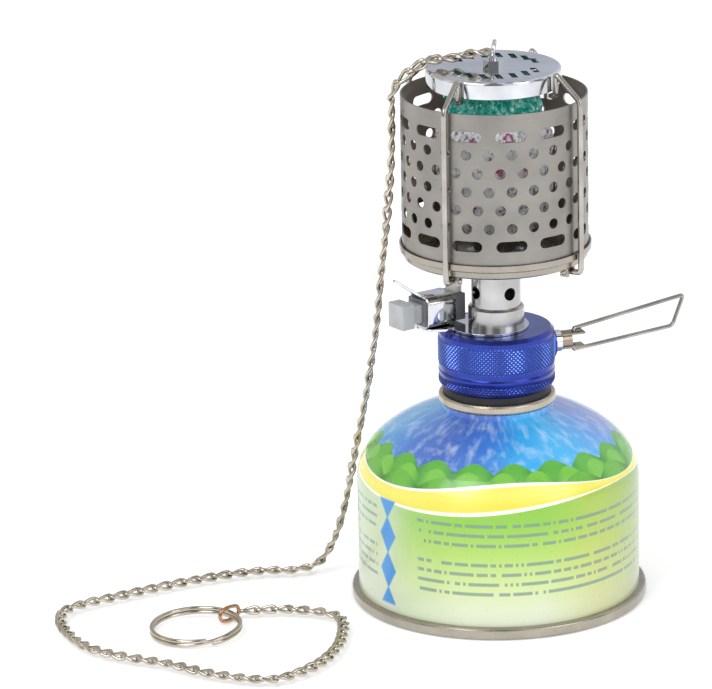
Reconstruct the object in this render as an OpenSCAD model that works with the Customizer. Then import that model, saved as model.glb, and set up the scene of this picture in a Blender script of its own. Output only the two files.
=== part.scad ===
// Backpacking gas lantern screwed onto a valved gas cartridge, with its carrying chain.
// Millimetres. +Z up, origin at the centre of the cartridge's bottom rim, front towards -Y.

/* [Cartridge] */
// Radius of the cartridge's side wall
can_r = 43.4; // [42:0.1:46]
// How far the rolled bottom seam stands out past the side wall
seam_out = 2.1; // [1:0.1:3]
// Height of the rolled bottom seam
seam_h = 3.6; // [2.5:0.1:5]
// Height at which the straight side ends and the dome begins
side_top = 38; // [30:0.5:46]
// Height that the dome would reach at its centre, above the straight side
dome_rise = 24.5; // [20:0.5:30]
// Thickness of the tinplate
tin_t = 0.5; // [0.3:0.05:0.8]
// Outer radius of the rolled ring around the valve cup
cup_r = 18; // [16:0.1:19.5]
// Height of the rolled ring
cup_ring_h = 3.1; // [2:0.1:4]
// Height of the neck between the dome and the rolled ring
cup_neck_h = 2; // [1:0.1:4]
// Depth of the valve cup below the top of its ring
cup_depth = 7.4; // [6.5:0.1:9]
// Radius of the cartridge's threaded boss, taken at the middle of the thread
boss_r = 5.45; // [5:0.05:6]
// Radius of the valve stem's head
stem_head_r = 3; // [2.2:0.1:3.2]
// How far the stem rises when the lantern is unscrewed
stem_lift = 1.5; // [0.8:0.1:2]

/* [Valve body] */
// Outer radius of the knurled body
body_r = 17.7; // [15:0.1:20]
// Height of the knurled body without its screw hub
body_h = 18.4; // [15:0.1:24]
// Thickness of the rubber ring between the cartridge and the body
seal_h = 2; // [1:0.1:3]
// Outer radius of the rubber ring
seal_r = 16.6; // [15.8:0.1:17]
// Radius of the valve spindle
spindle_r = 1.9; // [1.5:0.1:2.4]
// Height of the spindle above the bottom of the knurled body
spindle_h = 11.2; // [9:0.1:14]
// Direction of the spindle, anticlockwise from +X
spindle_dir = 20; // [0:1:45]
// Radius of the gland nut
gland_r = 3.4; // [2.6:0.1:4]
// Thickness of the wire of the folding handle
handle_wire = 1.3; // [1:0.05:1.8]
// Length of the handle's loop from its pivot to the end bar
handle_len = 43.4; // [30:0.5:50]
// Width of the handle's loop, middle of wire to middle of wire, at the pivot
handle_w = 6.8; // [6:0.1:9]
// Width of the handle's loop at its end bar
handle_end_w = 9.2; // [7:0.1:12]
// How far the handle is folded sideways as it is drawn
handle_fold = 17; // [0:1:30]

/* [Burner] */
// Outer radius of the collar above the body
collar_r = 8.6; // [8:0.1:10]
// Height of the collar
collar_h = 7; // [5:0.1:9]
// Outer radius of the mixing tube
tube_r = 7.6; // [6:0.1:7.8]
// Wall of the mixing tube
tube_t = 0.7; // [0.4:0.05:1.2]
// Length of mixing tube that shows between the collar and the pan
tube_show = 15.7; // [12:0.1:20]
// Radius of the air holes
air_hole_r = 2; // [1.5:0.1:2.4]
// Height of the air holes above the collar
air_hole_h = 4.7; // [3:0.1:8]

/* [Igniter] */
// Direction in which the igniter's button points, anticlockwise from +X
igniter_dir = 216.87; // [205:0.01:225]
// Distance of the igniter's axis from the lantern's axis
igniter_off = 11; // [10.5:0.1:13]
// Distance along its axis from the point nearest the lantern to the inner end of the case
case_start = 6.6; // [6.5:0.1:9]
// Length of the igniter's case
case_len = 15.4; // [14:0.1:18]
// Width and height of the igniter's case
case_w = 8.2; // [7:0.1:9]
// Thickness of the bracket's sheet
bracket_t = 0.9; // [0.6:0.05:1.2]
// Width and height of the button's head
button_w = 7.6; // [6:0.1:9]
// Thickness of the button's head
button_t = 4.4; // [3:0.1:6]
// Travel of the button
button_travel = 3.2; // [2:0.1:4]

/* [Globe and pan] */
// Outer radius of the perforated globe
globe_r = 28.4; // [26:0.1:32]
// Height of the globe
globe_h = 48.4; // [45:0.1:60]
// Thickness of the globe's sheet
globe_t = 0.5; // [0.3:0.05:0.8]
// Number of round holes around the globe
hole_count = 26; // [20:2:30]
// Radius of the round holes
hole_r = 1.6; // [1:0.05:2]
// Height between two rows of round holes
hole_row_h = 5.7; // [5:0.1:7]
// Number of rows of round holes
hole_rows = 5; // [3:1:5]
// Length of the slots
slot_len = 9.4; // [7:0.1:10.5]
// Height of the slots
slot_h = 3.3; // [2.5:0.1:4]
// Height of the upper row of slots above the globe's lower edge
slot_top_h = 41.5; // [40:0.1:43]
// Height of the lower row of slots above the globe's lower edge
slot_low_h = 7.6; // [6:0.1:9]
// Height of the pan, from its floor to the lip
pan_h = 4.5; // [3.5:0.1:6]
// Thickness of the pan's sheet
pan_t = 0.8; // [0.5:0.05:1.2]

/* [Cage and hood] */
// Thickness of the cage wires
cage_wire = 1.8; // [1.2:0.1:2.2]
// Number of cage wires
cage_count = 4; // [4:1:4]
// Direction of the first cage wire, anticlockwise from +X
cage_dir = 240.5; // [230:0.5:245]
// Outer radius of the hood
hood_r = 20.6; // [18:0.1:22]
// Height of the hood's skirt
hood_h = 5.3; // [4:0.1:7]
// Thickness of the hood's sheet
hood_t = 0.5; // [0.3:0.05:0.8]
// Height of the gap between the globe's upper edge and the hood's skirt
hood_gap = 2.7; // [2.7:0.1:4]
// Middle radius of the hanging eye
eye_r = 2.4; // [2:0.1:4]
// Thickness of the eye's wire
eye_wire = 1.4; // [1:0.1:1.8]

/* [Chain] */
// Width of the chain's links
chain_d = 4; // [3:0.1:5]
// Outer radius of the split ring
ring_r = 14.2; // [10:0.1:18]
// Thickness of the split ring's wire
ring_wire = 1.3; // [1:0.1:1.8]

/* [Mantle] */
// Radius of the packet that holds the spare mantle
packet_r = 15.5; // [12:0.1:18]
// Thickness of the packet's film
packet_t = 0.4; // [0.3:0.05:0.8]

/* [Clearances] */
// Radial clearance of a shaft or stem that turns or slides
run_gap = 0.08; // [0.04:0.01:0.1]
// Clearance between loose pieces
loose_gap = 0.3; // [0.2:0.05:0.5]
// Clearance of pieces that are pushed or screwed together
seat_gap = 0.04; // [0.02:0.01:0.08]

/* [Hidden] */
$fn = 64;

// Heights of the cartridge
seam_r = can_r + seam_out;
shell_end_z = side_top + dome_rise * sqrt(1 - pow(cup_r / can_r, 2));
ring_low_z = shell_end_z + cup_neck_h;
ring_top_z = ring_low_z + cup_ring_h;
cup_wall_r = cup_r - 2.2;
cup_floor_z = ring_top_z - cup_depth;
boss_top_z = ring_top_z - 0.3;
boss_bore_r = stem_head_r + 0.35;
lip_r = 1.9;
lip_t = 1;
gasket_t = 1.2;
stem_head_t = 1.2;
gasket_low_z = boss_top_z - lip_t - gasket_t;
stem_top_z = gasket_low_z - stem_lift;
stem_rod_r = 1.4;
housing_h = 10.6;
housing_r = 6;
housing_low_z = cup_floor_z - housing_h;
housing_floor_t = 1.6;
spring_wire = 0.7;

// Heights of the lantern
body_low_z = ring_top_z + seal_h;
body_top_z = body_low_z + body_h;
hub_r = 8;
hub_low_z = cup_floor_z + tin_t + 1.3;
thread_roof_z = boss_top_z + 0.6;
spindle_z = body_low_z + spindle_h;
collar_top_z = body_top_z + collar_h;
collar_socket = 2.7;
pan_low_z = collar_top_z + tube_show;
pan_top_z = pan_low_z + pan_h;
ledge_z = pan_top_z - 1.8;
globe_low_z = ledge_z;
globe_top_z = globe_low_z + globe_h;
hood_low_z = globe_top_z + hood_gap;
hood_top_z = hood_low_z + hood_h;
air_hole_z = collar_top_z + air_hole_h;
nozzle_top_z = pan_top_z + 3.5;

// Places along the spindle, measured from the lantern's axis
spindle_boss_r = 5;
spindle_boss_x = body_r + 0.4;
gland_len = 6;
gland_thread_r = gland_r + 0.7;
gland_out = 2.4;
gland_x = spindle_boss_x + gland_out;
spindle_tip_x = 3.4;
needle_len = 2;
clip_x = gland_x + loose_gap;
clip_len = 7.6;
clip_t = 0.6;
pivot_x = clip_x + 4.4;
clip_w = handle_w - handle_wire - 2 * loose_gap;
stop_r = spindle_r + 0.9;

// Igniter, along its own axis
bracket_top_z = body_top_z + bracket_t;
clamp_in = case_w + 2 * seat_gap;
case_z = bracket_top_z + bracket_t + clamp_in / 2;
case_t = 1;
clamp_start = 10.6;
clamp_len = 10.6;
case_end = case_start + case_len;
button_gap = button_travel + 0.4;
button_start = case_end + button_gap;
neck_w = 5.6;
crystal_len = 3.4;
hammer_len = 3;
piezo_spring_len = 3.4;
insulator_r = 2.5;
insulator_off = 1.4;
insulator_out = 4.6;
tongue_len = 12;

// Cage wires
cage_r = globe_r + pan_lip() + cage_wire / 2 + 0.2;
pivot_r = cage_r - 4.8;
pivot_z = pan_low_z - cage_wire / 2 - 0.6;
bend_z = globe_top_z + 0.55;
hook_r = hood_r + cage_wire / 2 + loose_gap;
hook_top_z = hood_top_z + 0.2;
hook_low_z = hood_low_z - cage_wire / 2 - 0.55;
hook_in_r = hood_r - hood_t - 0.6;
ear_t = 0.9;
ear_gap = cage_wire + 2 * loose_gap;
ear_r = cage_wire / 2 + 0.55;
// Turn of each cage wire from the first
CAGE_TURN = [0, 87.5, 177.5, 267.5];

function pan_lip() = loose_gap + 0.55;

// Route of the chain's middle line, from the eye to the joining link
CHAIN = [[-1.6, 0, 171.7], [-5.4, 1, 171.6], [-9.5, 1.6, 170.4], [-14, 0.6, 169.8], [-19, -1.5, 169.7],
    [-23.5, -3, 168], [-27.4, -3.4, 164.8], [-30.6, -2.8, 160], [-30.9, -1.8, 153], [-31.4, -0.8, 138],
    [-33.2, 0, 118], [-35.2, 1.9, 100], [-37.2, 4, 82], [-40.6, 6.6, 61], [-43.8, 9, 45], [-47.4, 12.8, 26],
    [-50, 15, 16], [-53.2, 17.2, 8], [-57.4, 17.2, 3], [-64, 14.4, 2.1], [-72, 14, 2.1], [-81, 11.7, 2.1],
    [-93, 6.5, 2.1], [-105, -0.5, 2.1], [-117, -8, 2.1], [-127, -14.5, 2.1], [-133, -21, 2.1],
    [-134, -30, 2.1], [-131, -41, 2.1], [-125, -52, 2.1], [-115, -60.5, 2.1], [-100, -67.5, 2.1],
    [-86, -76.5, 2.1], [-70, -82, 2.1], [-60, -77, 2.1], [-51.5, -64, 2.1], [-47.6, -46, 2.1],
    [-49.6, -28, 2.1], [-64, -21.8, 2.1], [-79.3, -23, 2.1]];
RING = [-92.3, -36, 0];
// Half the height of the link that joins chain and ring
link_h = 2.1;

// How much a bent wire swells at its bends
bend_swell = 0.05;

// Position and direction helpers
module at_polar(angle, radius, z) rotate([0, 0, angle]) translate([radius, 0, z]) children();
module along_spindle(x) rotate([0, 0, spindle_dir]) translate([x, 0, spindle_z]) rotate([0, 90, 0]) children();
module along_igniter(s, side = 0, up = 0)
    rotate([0, 0, igniter_dir]) translate([s, -igniter_off, case_z]) translate([0, side, up]) children();
module rod(a, b, r) {
    d = b - a;
    translate(a)
        rotate([0, acos(d[2] / norm(d)), atan2(d[1], d[0])])
        cylinder(r = r, h = norm(d), $fn = 24);
}
// A bent wire: straight rods with a ball at each bend and rounded ends
module wire_path(points, r) {
    for (i = [0 : len(points) - 2]) rod(points[i], points[i + 1], r);
    for (p = points) translate(p) sphere(r = r + bend_swell, $fn = 24);
}
// One half of a ring's profile, as a square that a ring is turned from
module ring(r_in, r_out, h) rotate_extrude() translate([r_in, 0]) square([r_out - r_in, h]);
module coil(r_mid, wire, turns, height)
    for (i = [0 : turns - 1])
        translate([0, 0, wire / 2 + i * (height - wire) / (turns - 1)])
            rotate_extrude($fn = 48) translate([r_mid, 0]) circle(d = wire, $fn = 16);

function arc(cx, cy, rx, ry, a0, a1, n) =
    [for (i = [0 : n]) let (a = a0 + (a1 - a0) * i / n) [cx + rx * cos(a), cy + ry * sin(a)]];

// Cartridge
module can_shell() color("yellowgreen") {
    a_top = acos(cup_r / can_r);
    neck_out = cup_r - 0.5;
    rotate_extrude($fn = 96)
        polygon(concat(
            [[can_r - tin_t, seam_h], [can_r, seam_h]],
            arc(0, side_top, can_r, dome_rise, 0, a_top, 18),
            [[neck_out, shell_end_z + 0.2], [neck_out, ring_low_z], [neck_out - tin_t, ring_low_z],
             [neck_out - tin_t, shell_end_z - tin_t]],
            arc(0, side_top, can_r - tin_t, dome_rise - tin_t, a_top - 1, 0, 18)));
}

module can_base() color("silver") {
    seam_mid = (seam_r + can_r) / 2;
    inner_r = can_r - 1.2;
    bowl_z = 3;
    bowl_rise = 4.2;
    rotate_extrude($fn = 96)
        polygon(concat(
            [[inner_r, 0.6], [inner_r + 0.6, 0], [seam_r - 0.9, 0]],
            arc(seam_r - 0.9, 0.9, 0.9, 0.9, -60, 0, 4),
            arc(seam_r - 0.9, seam_h - 0.9, 0.9, 0.9, 0, 90, 5),
            [[can_r - tin_t, seam_h], [can_r - tin_t, seam_h - 0.8], [inner_r + tin_t, seam_h - 0.8],
             [inner_r + tin_t, 2], [inner_r, 1.6]],
            [for (i = [0 : 10]) let (r = (inner_r - 1.6) * (1 - i / 10))
                [r, bowl_z + bowl_rise * (1 - pow(r / inner_r, 2)) + tin_t]],
            [for (i = [0 : 10]) let (r = (inner_r - 1.6) * i / 10)
                [r, bowl_z + bowl_rise * (1 - pow(r / inner_r, 2))]]));
}

module valve_cup() color("tan") {
    bead_in = cup_wall_r - 0.2;
    rotate_extrude()
        polygon(concat(
            [[bead_in, ring_top_z - 0.5], [bead_in + 0.5, ring_top_z]],
            arc(cup_r - 1, ring_top_z - 1, 1, 1, 80, 0, 5),
            arc(cup_r - 0.8, ring_low_z + 0.8, 0.8, 0.8, 0, -90, 4),
            [[cup_wall_r, ring_low_z], [cup_wall_r, cup_floor_z], [boss_r - 0.4, cup_floor_z],
             [boss_r - 0.4, cup_floor_z - 1.2], [boss_bore_r, cup_floor_z - 1.2],
             [boss_bore_r, boss_top_z - lip_t], [lip_r, boss_top_z - lip_t], [lip_r, boss_top_z],
             [boss_r - 0.5, boss_top_z], [boss_r, boss_top_z - 0.5], [boss_r, cup_floor_z + tin_t],
             [cup_wall_r - tin_t, cup_floor_z + tin_t], [bead_in, ring_low_z + 0.4]]));
}

module cartridge_gasket() color("dimgray")
    translate([0, 0, gasket_low_z]) ring(lip_r - 0.15, boss_bore_r - seat_gap, gasket_t);

module cartridge_housing() color("gold") translate([0, 0, housing_low_z]) difference() {
    cylinder(r = housing_r, h = housing_h);
    translate([0, 0, housing_floor_t]) cylinder(r = boss_bore_r, h = housing_h);
    translate([0, 0, -1]) cylinder(r = stem_rod_r + run_gap, h = housing_h);
    translate([0, 0, housing_h - 1.2]) cylinder(r = boss_r - 0.4 + seat_gap, h = 2);
    for (a = [0, 120, 240]) at_polar(a, 4, housing_h / 2) rotate([0, 90, 0]) cylinder(r = 0.8, h = 6, center = true);
}

module cartridge_stem() color("goldenrod") {
    translate([0, 0, stem_top_z - stem_head_t]) cylinder(r = stem_head_r, h = stem_head_t);
    translate([0, 0, housing_low_z + 0.4]) cylinder(r = stem_rod_r, h = stem_top_z - stem_head_t - housing_low_z);
}

module cartridge_spring() color("silver") {
    low = housing_low_z + housing_floor_t;
    translate([0, 0, low]) coil(stem_rod_r + 0.3 + spring_wire / 2, spring_wire, 7, stem_top_z - stem_head_t - low);
}

// Lantern body
module seal_ring() color("dimgray")
    translate([0, 0, ring_top_z]) ring(cup_wall_r - 1.6, seal_r, seal_h);

module valve_body() color("mediumblue") difference() {
    union() {
        rotate_extrude($fn = 96)
            polygon([[0, body_low_z], [body_r - 1.1, body_low_z], [body_r - 0.2, body_low_z + 1.2],
                [body_r - 0.2, body_low_z + 5], [body_r, body_low_z + 5.4], [body_r, body_low_z + 7.8],
                [body_r - 0.8, body_low_z + 8.2], [body_r - 0.8, body_low_z + 8.6], [body_r, body_low_z + 9],
                [body_r, body_top_z - 1.1], [body_r - 1.1, body_top_z], [0, body_top_z]]);
        translate([0, 0, hub_low_z]) cylinder(r = hub_r, h = body_low_z - hub_low_z + 1);
        along_spindle(0) cylinder(r = spindle_boss_r, h = spindle_boss_x);
    }
    translate([0, 0, hub_low_z - 1]) cylinder(r = boss_r + run_gap, h = thread_roof_z - hub_low_z + 1);
    translate([0, 0, thread_roof_z - 1]) cylinder(r = 2.2, h = 4);
    translate([0, 0, thread_roof_z]) cylinder(r = 1, h = spindle_z - thread_roof_z);
    along_spindle(spindle_tip_x - 2.4) cylinder(r = 1.2, h = 4);
    along_spindle(spindle_tip_x) cylinder(r = spindle_r + run_gap, h = body_r);
    along_spindle(gland_x - gland_len) cylinder(r = gland_thread_r + seat_gap, h = gland_len);
    translate([0, 0, spindle_z]) cylinder(r = 1, h = body_h);
    translate([0, 0, body_top_z - 3]) cylinder(r = 2.4 + seat_gap, h = 4);
}

module depressor_pin() color("gold") {
    translate([0, 0, thread_roof_z]) cylinder(r = 2.2 - seat_gap, h = 2.9);
    translate([0, 0, stem_top_z + 0.1]) cylinder(r = 1.35, h = thread_roof_z - stem_top_z);
}

module pin_seal() color("dimgray")
    translate([0, 0, boss_top_z + 0.05]) ring(1.35 + seat_gap, boss_r - 1.2, thread_roof_z - boss_top_z - 0.1);

module gas_jet() color("gold") {
    shank_h = 3;
    hex_h = 2.4;
    tip_h = 1.8;
    translate([0, 0, body_top_z - shank_h]) difference() {
        union() {
            cylinder(r = 2.4, h = shank_h);
            translate([0, 0, shank_h]) cylinder(r = 3, h = hex_h, $fn = 6);
            translate([0, 0, shank_h + hex_h]) cylinder(r = 1.7, h = tip_h);
        }
        translate([0, 0, -1]) cylinder(r = 0.9, h = shank_h + hex_h + tip_h + 0.2);
        translate([0, 0, shank_h + 2]) cylinder(r = 0.3, h = 4, $fn = 16);
    }
}

module gland_nut() color("silver") difference() {
    union() {
        along_spindle(gland_x - gland_len + 0.1) cylinder(r = gland_thread_r, h = gland_len - gland_out - 0.1);
        along_spindle(spindle_boss_x) cylinder(r = gland_r, h = gland_out);
    }
    along_spindle(gland_x - gland_len - 1) cylinder(r = spindle_r + run_gap, h = gland_len + 3);
    along_spindle(gland_x - gland_len) cylinder(r = stop_r, h = 1.5);
}

module valve_spindle() color("silver") {
    along_spindle(spindle_tip_x + needle_len) cylinder(r = spindle_r, h = clip_x + 3.2 - spindle_tip_x - needle_len);
    along_spindle(spindle_tip_x + 0.1) cylinder(r1 = 0.5, r2 = spindle_r, h = needle_len - 0.1, $fn = 48);
}

module spindle_seal() color("dimgray")
    along_spindle(gland_x - gland_len + 0.2) ring(spindle_r + 0.02, stop_r - seat_gap, 1.2);

module handle_clip() color("rosybrown") {
    along_spindle(clip_x) difference() {
        union() {
            cylinder(r = spindle_r + 0.9, h = 3.2);
            translate([-clip_w / 2, -2.1, 0]) cube([clip_w, 4.2, clip_len]);
        }
        translate([-clip_w / 2 + clip_t, -3, 3.2]) cube([clip_w - 2 * clip_t, 6, clip_len]);
        translate([0, 0, -1]) cylinder(r = spindle_r + seat_gap, h = 4.2);
        translate([0, 0, pivot_x - clip_x]) rotate([0, 90, 0])
            cylinder(r = handle_wire / 2 + run_gap, h = clip_w + 2, center = true);
    }
}

// The loop stands in the plane of its pivot, so its legs lie above and below the clip
module wire_handle() color("silver")
    rotate([0, 0, spindle_dir]) translate([pivot_x, 0, spindle_z]) rotate([0, 0, handle_fold]) {
        r = handle_wire / 2;
        top = handle_w / 2;
        end_top = handle_end_w / 2 + 1.3;
        end_low = -handle_end_w / 2 + 1.3;
        lean = 4.4;
        grip = clip_w / 2 - clip_t - 0.2;
        wire_path([[0, 0, top], [handle_len, 0, end_top], [handle_len - lean, 0, end_low], [0, 0, -top]], r);
        for (s = [0, 1]) mirror([0, 0, s]) translate([0, 0, grip]) cylinder(r = r, h = top - grip, $fn = 24);
    }

// Burner
module collar() color("gainsboro") difference() {
    rotate_extrude()
        polygon([[4.4, body_top_z], [collar_r, body_top_z], [collar_r, collar_top_z - 0.6],
            [collar_r - 0.6, collar_top_z], [tube_r + seat_gap, collar_top_z],
            [tube_r + seat_gap, collar_top_z - collar_socket], [4.4, collar_top_z - collar_socket]]);
}

module mixing_tube() color("silver") {
    low = collar_top_z - collar_socket;
    difference() {
        translate([0, 0, low]) cylinder(r = tube_r, h = pan_low_z - low);
        translate([0, 0, low - 1]) cylinder(r = tube_r - tube_t, h = pan_low_z - low + 2);
        for (a = [34, 125, 215, 305]) at_polar(a, tube_r, air_hole_z)
            rotate([0, 90, 0]) cylinder(r = air_hole_r, h = 6, center = true);
    }
}

module burner_nozzle() color("silver") {
    flange_z = pan_low_z + pan_t;
    rotate_extrude()
        polygon([[tube_r - 2.4, flange_z], [tube_r + 1, flange_z], [tube_r + 1, flange_z + 1],
            [tube_r - 1, flange_z + 1.4], [tube_r - 1, nozzle_top_z - 1], [tube_r - 0.2, nozzle_top_z - 0.7],
            [tube_r - 0.2, nozzle_top_z], [tube_r - 2.4, nozzle_top_z]]);
}

module burner_gauze() color("dimgray")
    translate([0, 0, nozzle_top_z - 3]) cylinder(r = tube_r - 2.4 - seat_gap, h = 0.8);

module base_pan() color("silver") {
    lip_out = globe_r + pan_lip();
    foot = lip_out - 1.15;
    difference() {
        union() {
            rotate_extrude($fn = 96)
                polygon([[tube_r - 2.4, pan_low_z], [foot - 0.5, pan_low_z], [foot, pan_low_z + 0.5],
                    [foot + 0.4, ledge_z - 0.5], [lip_out, ledge_z], [lip_out, pan_top_z],
                    [globe_r + loose_gap, pan_top_z], [globe_r + loose_gap, ledge_z],
                    [globe_r - 1.4, ledge_z], [globe_r - 1.9, pan_low_z + pan_t],
                    [tube_r - 2.4, pan_low_z + pan_t]]);
            for (k = [0 : cage_count - 1]) for (s = [-1, 1])
                rotate([0, 0, cage_dir + CAGE_TURN[k]])
                    translate([pivot_r - ear_r, s * (ear_gap + ear_t) / 2 - ear_t / 2, pivot_z - ear_r])
                    cube([2 * ear_r, ear_t, pan_low_z + 0.4 - pivot_z + ear_r]);
        }
        for (k = [0 : cage_count - 1]) at_polar(cage_dir + CAGE_TURN[k], pivot_r, pivot_z)
            rotate([90, 0, 0]) cylinder(r = cage_wire / 2 + run_gap, h = 12, center = true);
        insulator_at() cylinder(r = insulator_r - 1 + seat_gap, h = pan_top_z - body_top_z);
    }
}

// Igniter
module insulator_at() rotate([0, 0, igniter_dir])
    translate([case_start + insulator_off, -igniter_off, case_z + case_w / 2]) children();

module igniter_bracket() color("silver") {
    tip_r = 0.8;
    difference() {
        union() {
            difference() {
                union() {
                    translate([-2.2, -0.6, body_top_z]) cylinder(r = 12.2, h = bracket_t);
                    along_igniter(clamp_start) translate([-6, -clamp_in / 2 - bracket_t, body_top_z - case_z])
                        cube([clamp_len + 6, clamp_in + 2 * bracket_t, bracket_t]);
                }
                translate([0, 0, body_top_z - 1]) cylinder(r = collar_r + seat_gap, h = 4);
            }
            along_igniter(clamp_start)
                translate([0, -clamp_in / 2 - bracket_t, bracket_top_z - case_z])
                cube([clamp_len, clamp_in + 2 * bracket_t, clamp_in + 2 * bracket_t]);
            along_igniter(clamp_start + clamp_len - 0.4)
                translate([0, 0, clamp_in / 2]) rotate([0, -35, 0])
                linear_extrude(bracket_t) polygon([[0, -clamp_in / 2], [tongue_len, -tip_r],
                    [tongue_len, tip_r], [0, clamp_in / 2]]);
        }
        along_igniter(0) translate([0, -clamp_in / 2, -clamp_in / 2]) cube([case_end + clamp_len, clamp_in, clamp_in]);
        along_igniter(clamp_start - 1) translate([0, clamp_in / 2 - 0.2, clamp_in / 2 - 1.2])
            cube([clamp_len - 2, 4, 0.7]);
    }
}

module piezo_case() color("dimgray") difference() {
    along_igniter(case_start) translate([0, -case_w / 2, -case_w / 2]) cube([case_len, case_w, case_w]);
    along_igniter(case_start + case_t)
        translate([0, -case_w / 2 + case_t, -case_w / 2 + case_t])
        cube([case_len, case_w - 2 * case_t, case_w - 2 * case_t]);
    insulator_at() translate([0, 0, -case_t - 1]) cylinder(r = 0.7, h = 4);
}

module piezo_crystal() color("ivory")
    along_igniter(case_start + case_t) rotate([0, 90, 0]) cylinder(r = 2.4, h = crystal_len);

module piezo_hammer() color("silver")
    along_igniter(hammer_start()) rotate([0, 90, 0]) cylinder(r = 2.2, h = hammer_len);

function hammer_start() = case_start + case_t + crystal_len + button_travel + 0.2;

module piezo_spring() color("silver")
    along_igniter(hammer_start() + hammer_len) rotate([0, 90, 0])
        coil(1.7, 0.6, 5, case_end - 1 - hammer_start() - hammer_len - 0.2);

module piezo_button() color("lightgray") {
    along_igniter(case_end - 1) translate([0, -neck_w / 2, -neck_w / 2])
        cube([button_gap + 1, neck_w, neck_w]);
    along_igniter(button_start) difference() {
        translate([0, -button_w / 2, -button_w / 2]) cube([button_t, button_w, button_w]);
        for (s = [-1, 1]) translate([button_t, s * (button_w / 2 + 0.6), 0])
            rotate([0, 0, 45]) cube([1.2, 1.2, button_w + 1], center = true);
    }
}

module electrode_insulator() color("whitesmoke") insulator_at() difference() {
    union() {
        cylinder(r = insulator_r, h = pan_low_z - case_z - case_w / 2);
        cylinder(r = insulator_r - 1, h = pan_low_z - case_z - case_w / 2 + insulator_out);
    }
    translate([0, 0, -1]) cylinder(r = 0.5 + seat_gap, h = globe_h, $fn = 24);
}

module electrode_wire() color("silver") insulator_at() {
    top = pan_low_z - case_z - case_w / 2 + insulator_out;
    translate([0, 0, -case_t]) cylinder(r = 0.5, h = top + case_t + 0.6, $fn = 24);
    rod([0, 0, top + 0.6], [-1.6, 3.2, top + 2.6], 0.5);
    translate([0, 0, top + 0.6]) sphere(r = 0.5, $fn = 24);
}

// Globe
module slot_cut() rotate([90, 0, 90]) {
    linear_extrude(8, center = true) union() {
        square([slot_len - slot_h, slot_h], center = true);
        for (s = [-1, 1]) translate([s * (slot_len - slot_h) / 2, 0]) circle(d = slot_h, $fn = 24);
    }
}

module globe() color("silver") difference() {
    translate([0, 0, globe_low_z]) ring(globe_r - globe_t, globe_r, globe_h);
    for (i = [0 : hole_count / 2 - 1]) {
        a = i * 720 / hole_count - 90 + 10.2;
        at_polar(a, globe_r, globe_low_z + slot_top_h) slot_cut();
        at_polar(a, globe_r, globe_low_z + slot_low_h) slot_cut();
    }
    for (row = [0 : hole_rows - 1]) for (i = [0 : hole_count - 1])
        at_polar((i + 0.5 * (row % 2)) * 360 / hole_count - 90 + 10.4, globe_r,
            globe_low_z + (slot_low_h + slot_top_h) / 2 + (row - (hole_rows - 1) / 2) * hole_row_h)
            rotate([0, 90, 0]) cylinder(r = hole_r, h = 4, center = true, $fn = 20);
}

// Cage wires
module cage_wire_at(k) color("silver") rotate([0, 0, cage_dir + CAGE_TURN[k]]) {
    r = cage_wire / 2;
    half = ear_gap / 2 + ear_t + 0.3;
    rod([pivot_r, -half, pivot_z], [pivot_r, half, pivot_z], r);
    wire_path([[pivot_r, 0, pivot_z], [cage_r, 0, pivot_z], [cage_r, 0, bend_z], [hook_r + 0.1, 0, hook_top_z],
        [hook_r, 0, hook_low_z], [hook_in_r, 0, hook_low_z]], r);
}
module cage_wire_1() cage_wire_at(0);
module cage_wire_2() cage_wire_at(1);
module cage_wire_3() cage_wire_at(2);
module cage_wire_4() cage_wire_at(3);

// Hood
module vent_slot() linear_extrude(6, center = true)
    polygon([[-1.6, 2.7], [0.3, 2.7], [1.6, -2.7], [-0.3, -2.7]]);

module hood() color("gainsboro") difference() {
    shoulder = 1;
    vent_r = hood_r - 6.6;
    vent_step = 18.6;
    rotate_extrude($fn = 96)
        polygon(concat(
            [[eye_wire, hood_top_z - hood_t], [eye_wire, hood_top_z]],
            arc(hood_r - shoulder, hood_top_z - shoulder, shoulder, shoulder, 90, 0, 5),
            [[hood_r, hood_low_z], [hood_r - hood_t, hood_low_z],
             [hood_r - hood_t, hood_top_z - shoulder], [hood_r - shoulder, hood_top_z - hood_t]]));
    for (i = [-1 : 5]) for (s = [-1, 1]) let (a = vent_step * i - 31)
        translate([vent_r * sin(a), s * (vent_r * cos(a) - 0.8), hood_top_z]) vent_slot();
}

module hanging_eye() color("silver") {
    translate([0, 0, hood_top_z + 2 + eye_r + eye_wire / 2]) rotate([0, 10, 0]) rotate([0, 90, 0])
        rotate_extrude() translate([eye_r, 0]) circle(d = eye_wire, $fn = 24);
    translate([0, 0, hood_top_z - 4]) cylinder(r = eye_wire - seat_gap, h = 6.6);
}

module eye_nut() color("silver") for (z = [hood_top_z, hood_top_z - hood_t - 2])
    translate([0, 0, z]) difference() {
        cylinder(r = 3.1, h = 2, $fn = 6);
        translate([0, 0, -1]) cylinder(r = eye_wire, h = 4);
    }

// Chain
function spline(p, i, t) =
    let (a = p[max(i - 1, 0)], b = p[i], c = p[i + 1], d = p[min(i + 2, len(p) - 1)])
    0.5 * (2 * b + (c - a) * t + (2 * a - 5 * b + 4 * c - d) * t * t + (3 * b - a - 3 * c + d) * t * t * t);
function unit(v) = v / norm(v);
CHAIN_LINE = concat([for (i = [0 : len(CHAIN) - 2]) for (t = [0, 0.5]) spline(CHAIN, i, t)],
    [CHAIN[len(CHAIN) - 1]]);

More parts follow.
